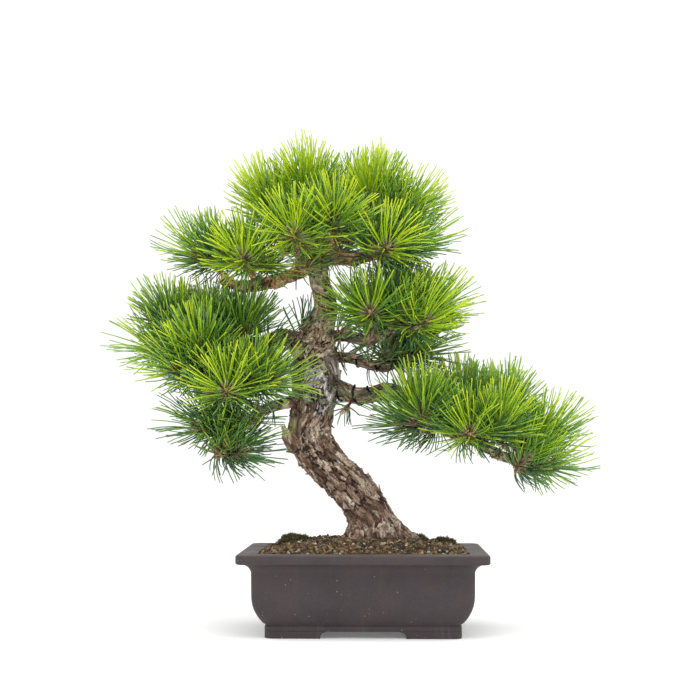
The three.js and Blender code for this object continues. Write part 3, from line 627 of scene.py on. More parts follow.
def build_pot():
    """The fired pot: its wall turned from the section, its floor with two drain holes, and its feet."""
    pot = bpy.context.scene.bonsai_pot
    half_x = (POT_HIGH.x - POT_LOW.x) / 2
    half_y = (POT_HIGH.y - POT_LOW.y) / 2
    wider = half_x - half_y
    shape = bmesh.new()
    section = pot_profile(pot)
    rings = [rounded_ring(out + wider, out, min(pot.corner_radius, out * 0.5), z) for out, z in section]
    rows = skin(shape, rings, cap_start=False, cap_end=False)
    add_floor(shape, rows[0], rows[-1], pot)
    foot = half_y - pot.lip_overhang - pot.body_taper
    for sx in (-1, 1):
        for sy in (-1, 1):
            add_foot(shape, sx, sy, foot + wider, foot, pot)
    bmesh.ops.translate(shape, verts=shape.verts, vec=POT_MIDDLE)
    piece = new_piece("clay_pot", to_mesh(shape, "clay_pot"), new_material("unglazed_clay", paint_clay))
    add_modifier(piece, "BEVEL", width=0.0005, segments=2, limit_method="ANGLE", angle_limit=math.radians(42))
    piece = frozen(piece, "clay_pot", bpy.data.materials["unglazed_clay"])
    mark_sharp(piece, 40)
    ride_as(piece, "clay", "pot")


def add_floor(shape, under_row, inner_row, pot):
    """Closes the underside and the inside floor around the two drain holes, and lines the holes."""
    steps = 20
    faces_at = []
    for level in (pot.foot_height, pot.floor_top):
        holes = []
        for side in (-1, 1):
            ring = []
            for i in range(steps):
                angle = 2 * math.pi * i / steps
                x = side * pot.drain_spacing / 2 + pot.drain_radius * math.cos(angle)
                ring.append(shape.verts.new((x, pot.drain_radius * math.sin(angle), level)))
            holes.append(ring)
        faces_at.append(holes)
    for outer, holes in ((under_row, faces_at[0]), (inner_row, faces_at[1])):
        edges = []
        for loop in (outer, *holes):
            for i in range(len(loop)):
                pair = (loop[i], loop[(i + 1) % len(loop)])
                edges.append(shape.edges.get(pair) or shape.edges.new(pair))
        bmesh.ops.triangle_fill(shape, edges=edges, use_beauty=True)
    for low, high in zip(*faces_at):
        for i in range(steps):
            j = (i + 1) % steps
            shape.faces.new((low[i], low[j], high[j], high[i]))


def add_foot(shape, sx, sy, half_x, half_y, pot):
    """One L-shaped corner foot whose two ends are hollowed in a quarter round."""
    thick = pot.foot_thickness
    radius = pot.corner_radius
    rings = []
    levels = 5
    for k in range(levels + 1):
        up = k / levels
        spread = pot.arch_cove * (1 - math.sqrt(max(0.0, 1 - up * up)))
        end_x = half_x - pot.foot_length_x - spread
        end_y = half_y - pot.foot_length_y - spread
        z = up * (pot.foot_height + 0.0004)
        corner = [(half_x - radius + radius * math.cos(a), half_y - radius + radius * math.sin(a))
                  for a in (math.pi / 2 * i / 7 for i in range(8))]
        outline = [(half_x - thick, end_y), (half_x, end_y), *corner, (end_x, half_y),
                   (end_x, half_y - thick), (half_x - thick, half_y - thick)]
        rings.append([(sx * x, sy * y, z) for x, y in outline])
    skin(shape, rings)


def mark_sharp(piece, degrees):
    """Smooth shading that keeps edges sharper than the angle crisp."""
    shape = bmesh.new()
    shape.from_mesh(piece.data)
    limit = math.radians(degrees)
    for edge in shape.edges:
        edge.smooth = len(edge.link_faces) == 2 and edge.calc_face_angle(0.0) < limit
    shape.to_mesh(piece.data)
    shape.free()


# ------------------------------------------------------------------ shoots


def coordinates(mesh):
    """The places of a mesh's points, one row each."""
    places = np.empty(len(mesh.vertices) * 3, np.float32)
    mesh.vertices.foreach_get("co", places)
    return places.reshape(-1, 3).astype(float)


def points_of(node):
    return coordinates(frame["nodes"][node].data)


def read_tuft(node):
    """The bud and the axis of a CAD tuft: a spike's tip is where just three corners meet."""
    places = points_of(node)
    keys, counts = np.unique(np.round(places / MM, 2), axis=0, return_counts=True)
    core = keys[counts > 3] * MM
    tips = keys[counts == 3] * MM
    bud = core.mean(0)
    ways = (tips - bud) / np.linalg.norm(tips - bud, axis=1)[:, None]
    axis = ways.mean(0)
    return Vector(bud), Vector(axis / np.linalg.norm(axis))


def side_of(axis):
    """Any direction square to the axis."""
    start = Vector((0, 0, 1)) if abs(axis.z) < 0.9 else Vector((1, 0, 0))
    return axis.cross(start).normalized()


def carried(side, ahead):
    """The last side direction turned square to the way ahead, or a first one."""
    return side_of(ahead) if side is None else (side - ahead * side.dot(ahead)).normalized()


def plan_shoots():
    """Every shoot of the tree: the CAD tuft's own bud and the smaller shoots that fork behind it."""
    needles = bpy.context.scene.bonsai_needles
    draw = np.random.default_rng(needles.seed)
    wood_points = {name: points_of(name) for name in WOOD}
    low, high = (Vector(c) for c in CAD_BOX)
    shoots = []
    for node in TUFTS:
        bud, axis = read_tuft(node)
        limb = min(WOOD, key=lambda w: np.linalg.norm(wood_points[w] - np.array(bud), axis=1).min())
        pad = node.split("_")[1]
        bright = needle_tone(node)
        axis.z = max(axis.z, 0.0)
        axis.normalize()
        around = side_of(axis)
        count = needles.side_shoots
        first = draw.uniform(0, 2 * math.pi)
        shoots.append({"pad": pad, "limb": limb, "bud": bud, "axis": axis, "tone": bright,
                       "length": needles.length, "fork": bud - axis * 0.008, "fullness": 1.0})
        for i in range(count):
            turn = Quaternion(axis, first + 2 * math.pi * (i + draw.uniform(-0.2, 0.2)) / count)
            away = turn @ around
            back = draw.uniform(0.014, 0.026)
            out = draw.uniform(0.012, 0.02)
            place = bud - axis * back + away * out
            way = (axis + away * draw.uniform(0.35, 0.8) + Vector((0, 0, 0.35))).normalized()
            place.z = max(place.z, bud.z - 0.004)
            place = Vector([min(max(place[k], low[k] + 0.03), high[k] - 0.03) for k in range(3)])
            # painted shade: each side shoot behind a bud gets a darker tone than the bud's own shoot, as if
            # in its shade
            shoots.append({"pad": pad, "limb": limb, "bud": place, "axis": way,
                           "tone": bright * draw.uniform(0.4, 0.88),
                           "length": needles.length * draw.uniform(0.78, 0.95),
                           "fork": bud - axis * (0.012 + back), "fullness": 0.85})
    return shoots + plan_weak_shoots(draw)


def plan_weak_shoots(draw):
    """Thin shoots with few needles that sprout from the inner part of each limb."""
    needles = bpy.context.scene.bonsai_needles
    shoots = []
    for limb in BRANCHES:
        line = limb_line(limb)
        pad = next((p for p in PADS if p in limb), "left")
        for i in range(needles.weak_shoots):
            share = (i + draw.uniform(0.4, 1.0)) / (needles.weak_shoots + 1)
            at = Vector(line[int(share * (len(line) - 1))])
            way = Vector((draw.uniform(-0.7, 0.7), -draw.uniform(0.1, 1.0), draw.uniform(-0.5, 0.9)))
            way.normalize()
            shoots.append({"pad": pad, "limb": limb, "bud": at + way * draw.uniform(0.014, 0.022),
                           "axis": way, "tone": draw.uniform(0.25, 0.5),
                           "length": needles.length * draw.uniform(0.6, 0.8),
                           "fork": at, "fullness": draw.uniform(0.2, 0.45)})
    return shoots


def needle_tone(node):
    """0 is a shaded old shoot and 1 is a fresh one in the sun."""
    slots = {s["node"]: s["material_slot"] for s in frame["record"]["subparts"]}
    if slots[node] == "needles_bright" and "crown" in node:
        return CROWN_TONE
    return TONES[slots[node]]


# ------------------------------------------------------------------ wood


def tube_into(shape, points, radii, sides=8):
    """Adds a closed tube along a few points."""
    rings = []
    side = None
    for i, point in enumerate(points):
        ahead = points[min(i + 1, len(points) - 1)] - points[max(i - 1, 0)]
        ahead.normalize()
        side = carried(side, ahead)
        up = ahead.cross(side)
        turn = [2 * math.pi * k / sides for k in range(sides)]
        rings.append([point + (side * math.cos(a) + up * math.sin(a)) * radii[i] for a in turn])
    skin(shape, rings)


def run_of(line):
    """How far along a line each of its points lies."""
    return np.concatenate([[0], np.cumsum(np.linalg.norm(np.diff(line, axis=0), axis=1))])


def limb_root(places, trunk_line):
    """A limb's points next to the trunk, and the middle of them."""
    gaps = np.linalg.norm(places[:, None, :] - trunk_line[None], axis=2).min(1)
    close = places[gaps < gaps.min() + ROOT_REACH]
    return close, close.mean(0)


def spine_of(places, root, step):
    """The middle line of a limb: the mean of its points in shells around its root."""
    away = np.linalg.norm(places - root, axis=1)
    line = [np.array(root)]
    for low in np.arange(0, away.max(), step):
        shell = places[(away >= low) & (away < low + step)]
        if len(shell) > 3 and np.linalg.norm(shell.mean(0) - line[-1]) > step * 0.3:
            line.append(shell.mean(0))
    return np.array(line)


def trunk_spine(places, step):
    """The trunk's middle line, level by level."""
    line = []
    for low in np.arange(SOIL_HIGH.z - 0.02, places[:, 2].max(), step):
        slab = places[(places[:, 2] >= low) & (places[:, 2] < low + step)]
        if len(slab) > 6:
            middle = (slab.min(0) + slab.max(0)) / 2
            line.append(0.5 * middle + 0.5 * slab.mean(0))
    return np.array(line)


def limb_line(limb):
    """The middle line of a CAD limb, from the trunk outwards."""
    places = points_of(limb)
    root = limb_root(places, trunk_spine(points_of("trunk"), SPINE_STEP))[1]
    return spine_of(places, root, SPINE_STEP)


def bark_coordinates(places, spine, stretch):
    """Across, away and along the limb for each point, with the along part drawn out.

    Also gives the limb's direction at each point and the point's distance from the middle line.
    """
    run = run_of(spine)
    ahead = np.gradient(spine, axis=0)
    ahead /= np.linalg.norm(ahead, axis=1)[:, None]
    side = np.zeros_like(ahead)
    last = np.array([0.0, 1.0, 0.0]) if abs(ahead[0][1]) < 0.9 else np.array([1.0, 0.0, 0.0])
    for i, way in enumerate(ahead):
        last = last - way * last.dot(way)
        last /= np.linalg.norm(last)
        side[i] = last
    up = np.cross(ahead, side)
    result = np.zeros((len(places), 3))
    onward = np.zeros((len(places), 3))
    girth = np.zeros(len(places))
    spread = 0.009
    for start in range(0, len(places), BLOCK):
        block = slice(start, start + BLOCK)
        off = places[block][:, None, :] - spine[None, :, :]
        far = (off ** 2).sum(2)
        weight = np.exp(-(far - far.min(1)[:, None]) / (2 * spread ** 2))
        weight /= weight.sum(1)[:, None]
        along = run[None, :] + (off * ahead[None]).sum(2)
        across = (off * side[None]).sum(2)
        away = (off * up[None]).sum(2)
        result[block, 0] = (weight * across).sum(1)
        result[block, 1] = (weight * away).sum(1)
        result[block, 2] = (weight * along).sum(1) * stretch
        onward[block] = weight @ ahead
        girth[block] = np.sqrt(far.min(1))
    return result, onward, girth


def loose_flake():
    """A thin bark flake, one unit square and curled up at both ends."""
    shape = bmesh.new()
    columns, rows = 2, 3
    layers = []
    for thick in (0.0, 0.0009):
        layer = []
        for j in range(rows + 1):
            v = j / rows - 0.5
            for i in range(columns + 1):
                u = i / columns - 0.5
                narrow = 1 - 1.3 * v * v - 0.2 * math.sin(9 * v + 1)
                rise = 0.0045 * v * v - 0.0025 * u * u + thick * (1 - abs(v))
                layer.append(shape.verts.new((u * narrow, v, rise)))
        layers.append(layer)
    low, high = layers
    wide = columns + 1
    for j in range(rows):
        for i in range(columns):
            a, b, c, d = j * wide + i, j * wide + i + 1, (j + 1) * wide + i + 1, (j + 1) * wide + i
            shape.faces.new((low[a], low[d], low[c], low[b]))
            shape.faces.new((high[a], high[b], high[c], high[d]))
    rim = list(range(wide)) + [j * wide + columns for j in range(1, rows + 1)]
    rim += [rows * wide + i for i in range(columns - 1, -1, -1)] + [j * wide for j in range(rows - 1, 0, -1)]
    for a, b in zip(rim, rim[1:] + rim[:1]):
        shape.faces.new((low[a], low[b], high[b], high[a]))
    return to_mesh(shape, "loose_flake")


def bark_tree(maker):
    """Cracks the surface into plates, lifts and lowers each plate, and chips it into flakes."""
    sizes = {"Plate Size": ("Float", 0.011), "Crack Depth": ("Float", 0.0022),
             "Plate Lift": ("Float", 0.0016), "Flake Size": ("Float", 0.0042),
             "Flake Lift": ("Float", 0.0009), "Grain": ("Float", 0.0005),
             "Swell": ("Float", 0.0005), "Loose Share": ("Float", 0.0), "Material": ("Material", None)}
    tree, sheet, given, out = new_tree("bark_relief", sizes)
    where = named(sheet, "bark", "FLOAT_VECTOR")
    relief = named(sheet, "relief")
    shake = sheet.vector("SUBTRACT", sheet.noise(where, 130.0, 4.0, 0.65, colour=True), (0.5, 0.5, 0.5))
    warped = sheet.vector("ADD", where, sheet.vector("SCALE", shake, 0.014))
    plate_scale = sheet.math("DIVIDE", 1.0, given["Plate Size"])
    edge = sheet.cells(warped, plate_scale, "DISTANCE_TO_EDGE", "Distance")
    crack = sheet.ease(edge, 0.1, 0.0)
    crack = sheet.math("MULTIPLY", crack, sheet.ease(sheet.noise(where, 75.0, 3.0), 0.36, 0.58, 0.35, 1.0))
    plate = sheet.add("FunctionNodeSeparateColor", {0: sheet.cells(warped, plate_scale)}).outputs[0]
    flake_scale = sheet.math("DIVIDE", 1.0, given["Flake Size"])
    shifted = sheet.vector("ADD", where, sheet.vector("SCALE", shake, 0.005))
    flake = sheet.add("FunctionNodeSeparateColor", {0: sheet.cells(shifted, flake_scale)}).outputs[1]
    chip = sheet.ease(sheet.cells(shifted, flake_scale, "DISTANCE_TO_EDGE", "Distance"), 0.08, 0.0)
    crumb = sheet.math("SUBTRACT", sheet.noise(where, 420.0, 3.0, 0.6), 0.5)
    parts = [
        sheet.math("MULTIPLY", sheet.math("MULTIPLY", crack, -1.0), given["Crack Depth"]),
        sheet.math("MULTIPLY", sheet.math("SUBTRACT", plate, 0.6), given["Plate Lift"]),
        sheet.math("MULTIPLY", sheet.math("SUBTRACT", flake, 0.5), given["Flake Lift"]),
        sheet.math("MULTIPLY", sheet.math("MULTIPLY", chip, -0.5), given["Flake Lift"]),
        sheet.math("MULTIPLY", crumb, given["Grain"]),
    ]
    height = parts[0]
    for part in parts[1:]:
        height = sheet.math("ADD", height, part)
    height = sheet.math("ADD", sheet.math("MULTIPLY", height, relief), given["Swell"])
    height = sheet.math("SUBTRACT", height, sheet.math("MULTIPLY", named(sheet, "crease"), 0.0035))
    normal = sheet.add("GeometryNodeInputNormal").outputs[0]
    # painted shade: cracks, flake edges and the crease are stored as the crack attribute, which darkens the
    # bark's colour nearly to black
    crevice_shade = sheet.math("MAXIMUM", crack, sheet.math("MULTIPLY", chip, 0.55))
    crevice_shade = sheet.math("MULTIPLY", crevice_shade, sheet.ease(relief, 0.0, 0.5, 0.5, 1.0))
    crevice_shade = sheet.math("MAXIMUM", crevice_shade, named(sheet, "crease"))
    geometry = store(sheet, given["Geometry"], "crack", crevice_shade)
    geometry = store(sheet, geometry, "plate", plate)
    geometry = store(sheet, geometry, "flake", flake)
    moved = sheet.add("GeometryNodeSetPosition", {
        "Geometry": geometry, "Offset": sheet.vector("SCALE", normal, height)})
    sound = sheet.math("MULTIPLY", sheet.ease(relief, 0.7, 0.95),
                       sheet.math("SUBTRACT", 1.0, named(sheet, "deadwood")))
    strewn = sheet.add("GeometryNodeDistributePointsOnFaces", {
        "Mesh": moved.outputs[0], "Distance Min": 0.0075, "Density Max": 40000.0,
        "Density Factor": sheet.math("MULTIPLY", sound, given["Loose Share"]), "Seed": 3},
        distribute_method="POISSON")
    here = sheet.add("GeometryNodeInputPosition").outputs[0]
    points = store(sheet, strewn.outputs["Points"], "home", here, "FLOAT_VECTOR")
    turned = sheet.add("FunctionNodeAlignRotationToVector", {
        "Rotation": strewn.outputs["Rotation"], "Vector": named(sheet, "ahead", "FLOAT_VECTOR")},
        axis="Y", pivot_axis="Z").outputs[0]
    tilt = sheet.add("ShaderNodeCombineXYZ", {
        0: random_float(sheet, -0.2, 0.24, 21), 1: random_float(sheet, -0.2, 0.2, 22),
        2: random_float(sheet, -0.5, 0.5, 23)}).outputs[0]
    turned = sheet.add("FunctionNodeRotateRotation", {"Rotation": turned, "Rotate By": tilt},
                       rotation_space="LOCAL").outputs[0]
    size = sheet.add("ShaderNodeCombineXYZ", {
        0: random_float(sheet, 0.0022, 0.0048, 24), 1: random_float(sheet, 0.005, 0.0135, 25),
        2: 0.8}).outputs[0]
    planted = sheet.add("GeometryNodeInstanceOnPoints", {
        "Points": points, "Instance": copy_of(sheet, maker), "Rotation": turned, "Scale": size})
    loose = store(sheet, planted.outputs[0], "plate", random_float(sheet, 0.1, 1.0, 26), "FLOAT", "INSTANCE")
    loose = store(sheet, loose, "flake", random_float(sheet, 0.3, 0.9, 27), "FLOAT", "INSTANCE")
    loose = store(sheet, loose, "crack", 0.0, "FLOAT", "INSTANCE")
    loose = realized(sheet, loose)
    off = sheet.vector("SUBTRACT", here, named(sheet, "home", "FLOAT_VECTOR"))
    loose = store(sheet, loose, "bark", sheet.vector("ADD", where, off), "FLOAT_VECTOR")
    send_out(sheet, joined(sheet, loose, moved.outputs[0]), given, out)
    return tree


def set_attribute(mesh, name, values):
    """Stores one number or one vector for each point of a mesh."""
    kind = "FLOAT_VECTOR" if np.ndim(values) == 2 else "FLOAT"
    layer = mesh.attributes.new(name, kind, "POINT")
    field = "vector" if kind == "FLOAT_VECTOR" else "value"
    layer.data.foreach_set(field, np.asarray(values, np.float32).ravel())


def build_limb(node, shoots, trunk_line, relief, material):
    """One limb, or the trunk: the CAD solid remeshed fine, its forks grown on, and its bark cut in."""
    bark = bpy.context.scene.bonsai_bark
    shape = frame_mesh(node)
    places = np.array([v.co[:] for v in shape.verts])
    if node == "trunk":
        spine = trunk_line
    else:
        close, root = limb_root(places, trunk_line)
        inner = trunk_line[np.linalg.norm(trunk_line - root, axis=1).argmin()]
        girth = max(0.004, np.linalg.norm(close - root, axis=1).mean())
        into = Vector(inner) - Vector(root)
        tube_into(shape, [Vector(root) - into * 0.25, Vector(root), Vector(root) + into * 0.5],
                  [girth * 0.85, girth * 1.05, girth * 1.1], 12)
        spine = spine_of(places, root, SPINE_STEP)
    for shoot in shoots:
        if shoot["limb"] != node:
            continue
        start, end = shoot["fork"], shoot["bud"] + shoot["axis"] * 0.002
        bend = end - shoot["axis"] * (end - start).length * 0.5
        line = [start.lerp(bend, t).lerp(bend.lerp(end, t), t) for t in (0, 0.25, 0.5, 0.75, 1)]
        tube_into(shape, line, [0.0024, 0.0023, 0.0022, 0.0021, 0.0019])
    piece = new_piece("raw_" + node, to_mesh(shape, node))
    voxel = bark.trunk_detail if node == "trunk" else bark.limb_detail
    add_modifier(piece, "REMESH", mode="VOXEL", voxel_size=voxel, use_smooth_shade=True)
    add_modifier(piece, "SMOOTH", factor=0.6, iterations=5)
    piece = frozen(piece, "raw_" + node)
    mesh = piece.data
    fine = coordinates(mesh)
    where, onward, girth = bark_coordinates(fine, spine, bark.stretch)
    set_attribute(mesh, "bark", where)
    set_attribute(mesh, "ahead", onward)
    bare = near(fine, [(*PALE_BASE, 0.015)], 0.9) if node == "trunk" else 0.0
    set_attribute(mesh, "relief", np.clip(girth / 0.018, 0.15, 1.1) * (1 - 0.75 * bare))
    for name, mask in bark_masks(fine, girth, node).items():
        set_attribute(mesh, name, mask)
    grow(piece, relief, plate_size=bark.plate_size, crack_depth=bark.crack_depth, plate_lift=bark.plate_lift,
         flake_size=bark.flake_size, flake_lift=bark.flake_lift, grain=bark.grain,
         loose_share=bark.loose_share if node == "trunk" else 0.0, material=material)
    piece = frozen(piece, "bark_" + node, material)
    ride_as(piece, "young_bark" if "crown" in node else "old_bark", node)


def near(places, spots, soft=0.4):
    """1 within any of the (x, y, z, radius) spots around the pot's middle, fading outside."""
    mask = np.zeros(len(places))
    for *spot, radius in spots:
        far = np.linalg.norm(places - np.array(POT_MIDDLE) - np.array(spot), axis=1)
        mask = np.maximum(mask, np.clip((radius * (1 + soft) - far) / (radius * soft), 0, 1))
    return mask


def bark_masks(places, girth, node):
    """Where bark is young, grey, olive, creased or gone, as shares from 0 to 1."""
    bark = bpy.context.scene.bonsai_bark
    none = np.zeros(len(places))
    if node != "trunk":
        orange = none if "crown" in node else np.clip((0.0052 - girth) / 0.0018, 0, 1) * 0.85
        return {"orange": orange, "grey": none, "olive": none, "crease": none, "deadwood": none}
    height = places[:, 2]
    local = places - np.array(POT_MIDDLE)
    crease = CREASE_END - CREASE_START
    share = np.clip(((local - CREASE_START) @ crease) / (crease @ crease), 0, 1)
    far = np.linalg.norm(local - CREASE_START - share[:, None] * crease, axis=1)
    grey = 0.34 * near(places, GREY_SPOTS, 0.8) + 0.16 * near(places, [(*PALE_BASE, 0.014)], 0.8)
    return {
        "orange": np.clip((height - bark.orange_from) / 0.03, 0, 1),
        "grey": grey - 0.12 * (height > 0.31),
        "olive": np.clip(1.6 - abs(height - 0.352) / 0.042, 0, 1) * 0.95,
        "crease": np.clip(1 - far / 0.0045, 0, 1),
        "deadwood": near(places, DEAD_STUBS),
    }


# ------------------------------------------------------------------ needles


def needle_pair(name, bend, splay, seed):
    """Two slim needles from one sheath, one unit long along +Z, bending towards +X."""
    draw = np.random.default_rng(seed)
    shape = bmesh.new()
    layer = shape.loops.layers.uv.new("OFBake")
    sides, levels = 3, 4
    for hand in (-1, 1):
        rows = []
        twist = draw.uniform(0, 2)
        for k in range(levels + 1):
            t = k / levels
            middle = Vector((bend * t * t, hand * (0.1 + splay * t), t))
            width = (1.0 - 0.35 * t) if k else 1.15
            row = []
            for s in range(sides):
                angle = 2 * math.pi * s / sides + twist
                out = Vector((math.cos(angle), math.sin(angle), 0))
                row.append(shape.verts.new(middle + out * width * 0.1))
            rows.append((t, row))
        tip = shape.verts.new(Vector((bend * 1.06, hand * (0.1 + splay * 1.03), 1.03)))
        for (t0, low), (t1, high) in zip(rows, rows[1:]):
            for s in range(sides):
                n = (s + 1) % sides
                # the first coordinate numbers the face; needle_fans turns it into a painted highlight streak
                face = shape.faces.new((low[s], low[n], high[n], high[s]))
                for loop, along in zip(face.loops, (t0, t0, t1, t1)):
                    loop[layer].uv = (s / sides, along * 0.96)
        for s in range(sides):
            face = shape.faces.new((rows[-1][1][s], rows[-1][1][(s + 1) % sides], tip))
            for loop, along in zip(face.loops, (0.96, 0.96, 1.0)):
                loop[layer].uv = (s / sides, along)
        shape.faces.new(rows[0][1][::-1])
    return to_mesh(shape, name)


def needle_tree(makers, wood):
    """Fans needle pairs round each shoot by the golden angle, longest and flattest at its foot."""
    sizes = {"Pairs": ("Int", 56), "Foot Angle": ("Float", 1.75), "Tip Angle": ("Float", 0.16),
             "Stem": ("Float", 0.02), "Wildness": ("Float", 0.13), "Thickness": ("Float", 0.0015),
             "Lift": ("Float", 0.25), "Droop Length": ("Float", 0.6), "Broom": ("Float", 0.7),
             "Seed": ("Int", 5), "Material": ("Material", None)}
    tree, sheet, given, out = new_tree("needle_fans", sizes)
    copies = sheet.add("GeometryNodeDuplicateElements", {
        "Geometry": given["Geometry"], "Amount": given["Pairs"]}, domain="POINT")
    number = copies.outputs["Duplicate Index"]
    share = sheet.math("DIVIDE", number, given["Pairs"])
    seed = given["Seed"]
    spin = sheet.math("ADD", sheet.math("MULTIPLY", number, 2.39996), random_float(sheet, -0.2, 0.2, seed))
    swing = sheet.math("SUBTRACT", given["Foot Angle"], given["Tip Angle"])
    swing = sheet.math("MULTIPLY", swing, sheet.math("POWER", share, 0.8))
    swing = sheet.math("ADD", swing, given["Tip Angle"])
    upright = sheet.add("ShaderNodeSeparateXYZ", {0: named(sheet, "axis", "FLOAT_VECTOR")}).outputs[2]
    swing = sheet.math("MULTIPLY", swing, sheet.ease(upright, 0.1, 1.0, 1.0, given["Broom"]))
    wobble = random_float(sheet, -1.0, 1.0, sheet.math("ADD", seed, 1.0))
    swing = sheet.math("ADD", swing, sheet.math("MULTIPLY", wobble, given["Wildness"]))
    flat = sheet.math("SINE", swing)
    way = sheet.add("ShaderNodeCombineXYZ", {
        0: sheet.math("MULTIPLY", flat, sheet.math("COSINE", spin)),
        1: sheet.math("MULTIPLY", flat, sheet.math("SINE", spin)),
        2: sheet.math("COSINE", swing)}).outputs[0]
    axis = named(sheet, "axis", "FLOAT_VECTOR")
    length = named(sheet, "length")
    upright = sheet.add("FunctionNodeAlignRotationToVector", {"Vector": axis}, axis="Z").outputs[0]
    way = sheet.add("FunctionNodeRotateVector", {"Vector": way, "Rotation": upright}).outputs[0]
    lift = sheet.add("ShaderNodeCombineXYZ", {2: given["Lift"]}).outputs[0]
    way = sheet.vector("NORMALIZE", sheet.vector("ADD", way, lift))
    rise = sheet.add("ShaderNodeSeparateXYZ", {0: way}).outputs[2]
    back = sheet.math("MULTIPLY", sheet.math("MULTIPLY", share, given["Stem"]), -1.0)
    slide = sheet.vector("SCALE", axis, back)
    start = sheet.vector("ADD", slide, sheet.vector("SCALE", way, 0.0012))
    placed = sheet.add("GeometryNodeSetPosition", {"Geometry": copies.outputs["Geometry"], "Offset": start})
    stretch = random_float(sheet, 0.92, 1.04, sheet.math("ADD", seed, 2.0))
    droop = sheet.ease(rise, -0.8, 0.1, given["Droop Length"], 1.0)
    length = sheet.math("MULTIPLY", sheet.math("MULTIPLY", length, stretch), droop)
    here = sheet.add("GeometryNodeInputPosition").outputs[0]
    ray = sheet.add("GeometryNodeRaycast", {
        "Target Geometry": copy_of(sheet, wood),
        "Source Position": sheet.vector("ADD", here, sheet.vector("SCALE", way, 0.012)),
        "Ray Direction": way,
        "Ray Length": sheet.math("MULTIPLY", length, 0.7)})
    # the fields above are read where the points stand, so they are kept before any point goes
    geometry = store(sheet, placed.outputs[0], "way", way, "FLOAT_VECTOR")
    geometry = store(sheet, geometry, "reach", length)
    missing = sheet.math("GREATER_THAN", random_float(sheet, 0.0, 1.0, sheet.math("ADD", seed, 6.0)),
                         named(sheet, "fullness"))
    geometry = store(sheet, geometry, "blocked", sheet.math("MAXIMUM", ray.outputs["Is Hit"], missing))
    free = sheet.add("GeometryNodeDeleteGeometry", {
        "Geometry": geometry, "Selection": sheet.math("GREATER_THAN", named(sheet, "blocked"), 0.5)},
        domain="POINT")
    way = named(sheet, "way", "FLOAT_VECTOR")
    turned = sheet.add("FunctionNodeAlignRotationToVector", {"Vector": way}, axis="Z").outputs[0]
    turned = sheet.add("FunctionNodeAlignRotationToVector", {"Rotation": turned, "Vector": axis},
                       axis="X", pivot_axis="Z").outputs[0]
    roll = random_float(sheet, -1.3, 1.3, sheet.math("ADD", seed, 3.0))
    roll = sheet.add("FunctionNodeAxisAngleToRotation", {"Axis": (0, 0, 1), "Angle": roll}).outputs[0]
    turned = sheet.add("FunctionNodeRotateRotation", {"Rotation": turned, "Rotate By": roll},
                       rotation_space="LOCAL").outputs[0]
    choice = choice_of(sheet, makers)
    reach = named(sheet, "reach")
    wide = sheet.math("MULTIPLY", given["Thickness"], 5.0)
    scale = sheet.add("ShaderNodeCombineXYZ", {0: wide, 1: wide, 2: reach}).outputs[0]
    pick = random_choice(sheet, makers, sheet.math("ADD", seed, 4.0))
    planted = sheet.add("GeometryNodeInstanceOnPoints", {
        "Points": free.outputs[0], "Instance": choice, "Pick Instance": True,
        "Instance Index": pick, "Rotation": turned, "Scale": scale})
    shade = random_float(sheet, -0.26, 0.16, sheet.math("ADD", seed, 5.0))
    rise = sheet.add("ShaderNodeSeparateXYZ", {0: way}).outputs[2]
    # painted light: needles that point upward get a higher tone, so they read brighter, as if lit from above
    tone = sheet.math("ADD", named(sheet, "tone"), shade)
    tone = sheet.math("ADD", tone, sheet.math("MULTIPLY", rise, 0.12))
    geometry = store(sheet, planted.outputs[0], "hue", tone, "FLOAT", "INSTANCE")
    real = realized(sheet, geometry)
    own = sheet.add("ShaderNodeSeparateXYZ", {0: named(sheet, "OFBake", "FLOAT_VECTOR")})
    # painted highlight: each of a needle's three faces gets a slightly higher tone than the one before, so
    # one face reads as a light streak along the needle
    across = sheet.math("MULTIPLY", own.outputs[0], 0.14)
    hue = sheet.math("MINIMUM", sheet.math("MAXIMUM", named(sheet, "hue"), 0.02), 0.88)
    spot = sheet.add("ShaderNodeCombineXYZ", {
        0: sheet.math("ADD", hue, across), 1: own.outputs[1], 2: 0.0}).outputs[0]
    real = store(sheet, real, "OFBake", spot, "FLOAT2", "CORNER")
    send_out(sheet, real, given, out)
    return tree


def shoot_points(name, shoots):
    """A mesh of loose points that carries each shoot's axis, length, tone and fullness."""
    mesh = bpy.data.meshes.new(name)
    mesh.from_pydata([s["bud"][:] for s in shoots], [], [])
    set_attribute(mesh, "axis", np.array([s["axis"][:] for s in shoots]))
    for key in ("length", "tone", "fullness"):
        set_attribute(mesh, key, np.array([s[key] for s in shoots]))
    return new_piece(name, mesh, smooth=False)


def build_needles(shoots):
    """The foliage, one piece for each pad of the tree."""
    needles = bpy.context.scene.bonsai_needles
    makers = []
    for i, (bend, splay) in enumerate(((0.7, 0.5), (1.5, 0.35), (0.2, 0.7), (1.1, 0.8))):
        makers.append(new_piece(f"needle_pair_{i}", needle_pair(f"needle_pair_{i}", bend, splay, i)))
    wood = new_piece("all_wood", to_mesh(frame_mesh(*WOOD), "all_wood"), smooth=False)
    material = new_material("pine_needles", paint_needles)
    tree = needle_tree(makers, wood)
    for number, pad in enumerate(PADS):
        chosen = [s for s in shoots if s["pad"] == pad]
        points = shoot_points(f"shoots_{pad}", chosen)
        grow(points, tree, pairs=needles.pairs, foot_angle=needles.foot_angle, tip_angle=needles.tip_angle,
             stem=needles.stem, wildness=needles.wildness, thickness=needles.thickness,
             lift=needles.lift, droop_length=needles.droop_length, broom=needles.broom,
             seed=needles.seed + number * 10, material=material)
        piece = frozen(points, f"foliage_{pad}", material)
        nodes = [n for n in TUFTS if n.split("_")[1] == pad]
        slot = "needles_bright" if pad == "crown" else "needles_green"
        ride_as(piece, slot, *nodes)
    for helper in (*makers, wood):
        drop(helper)


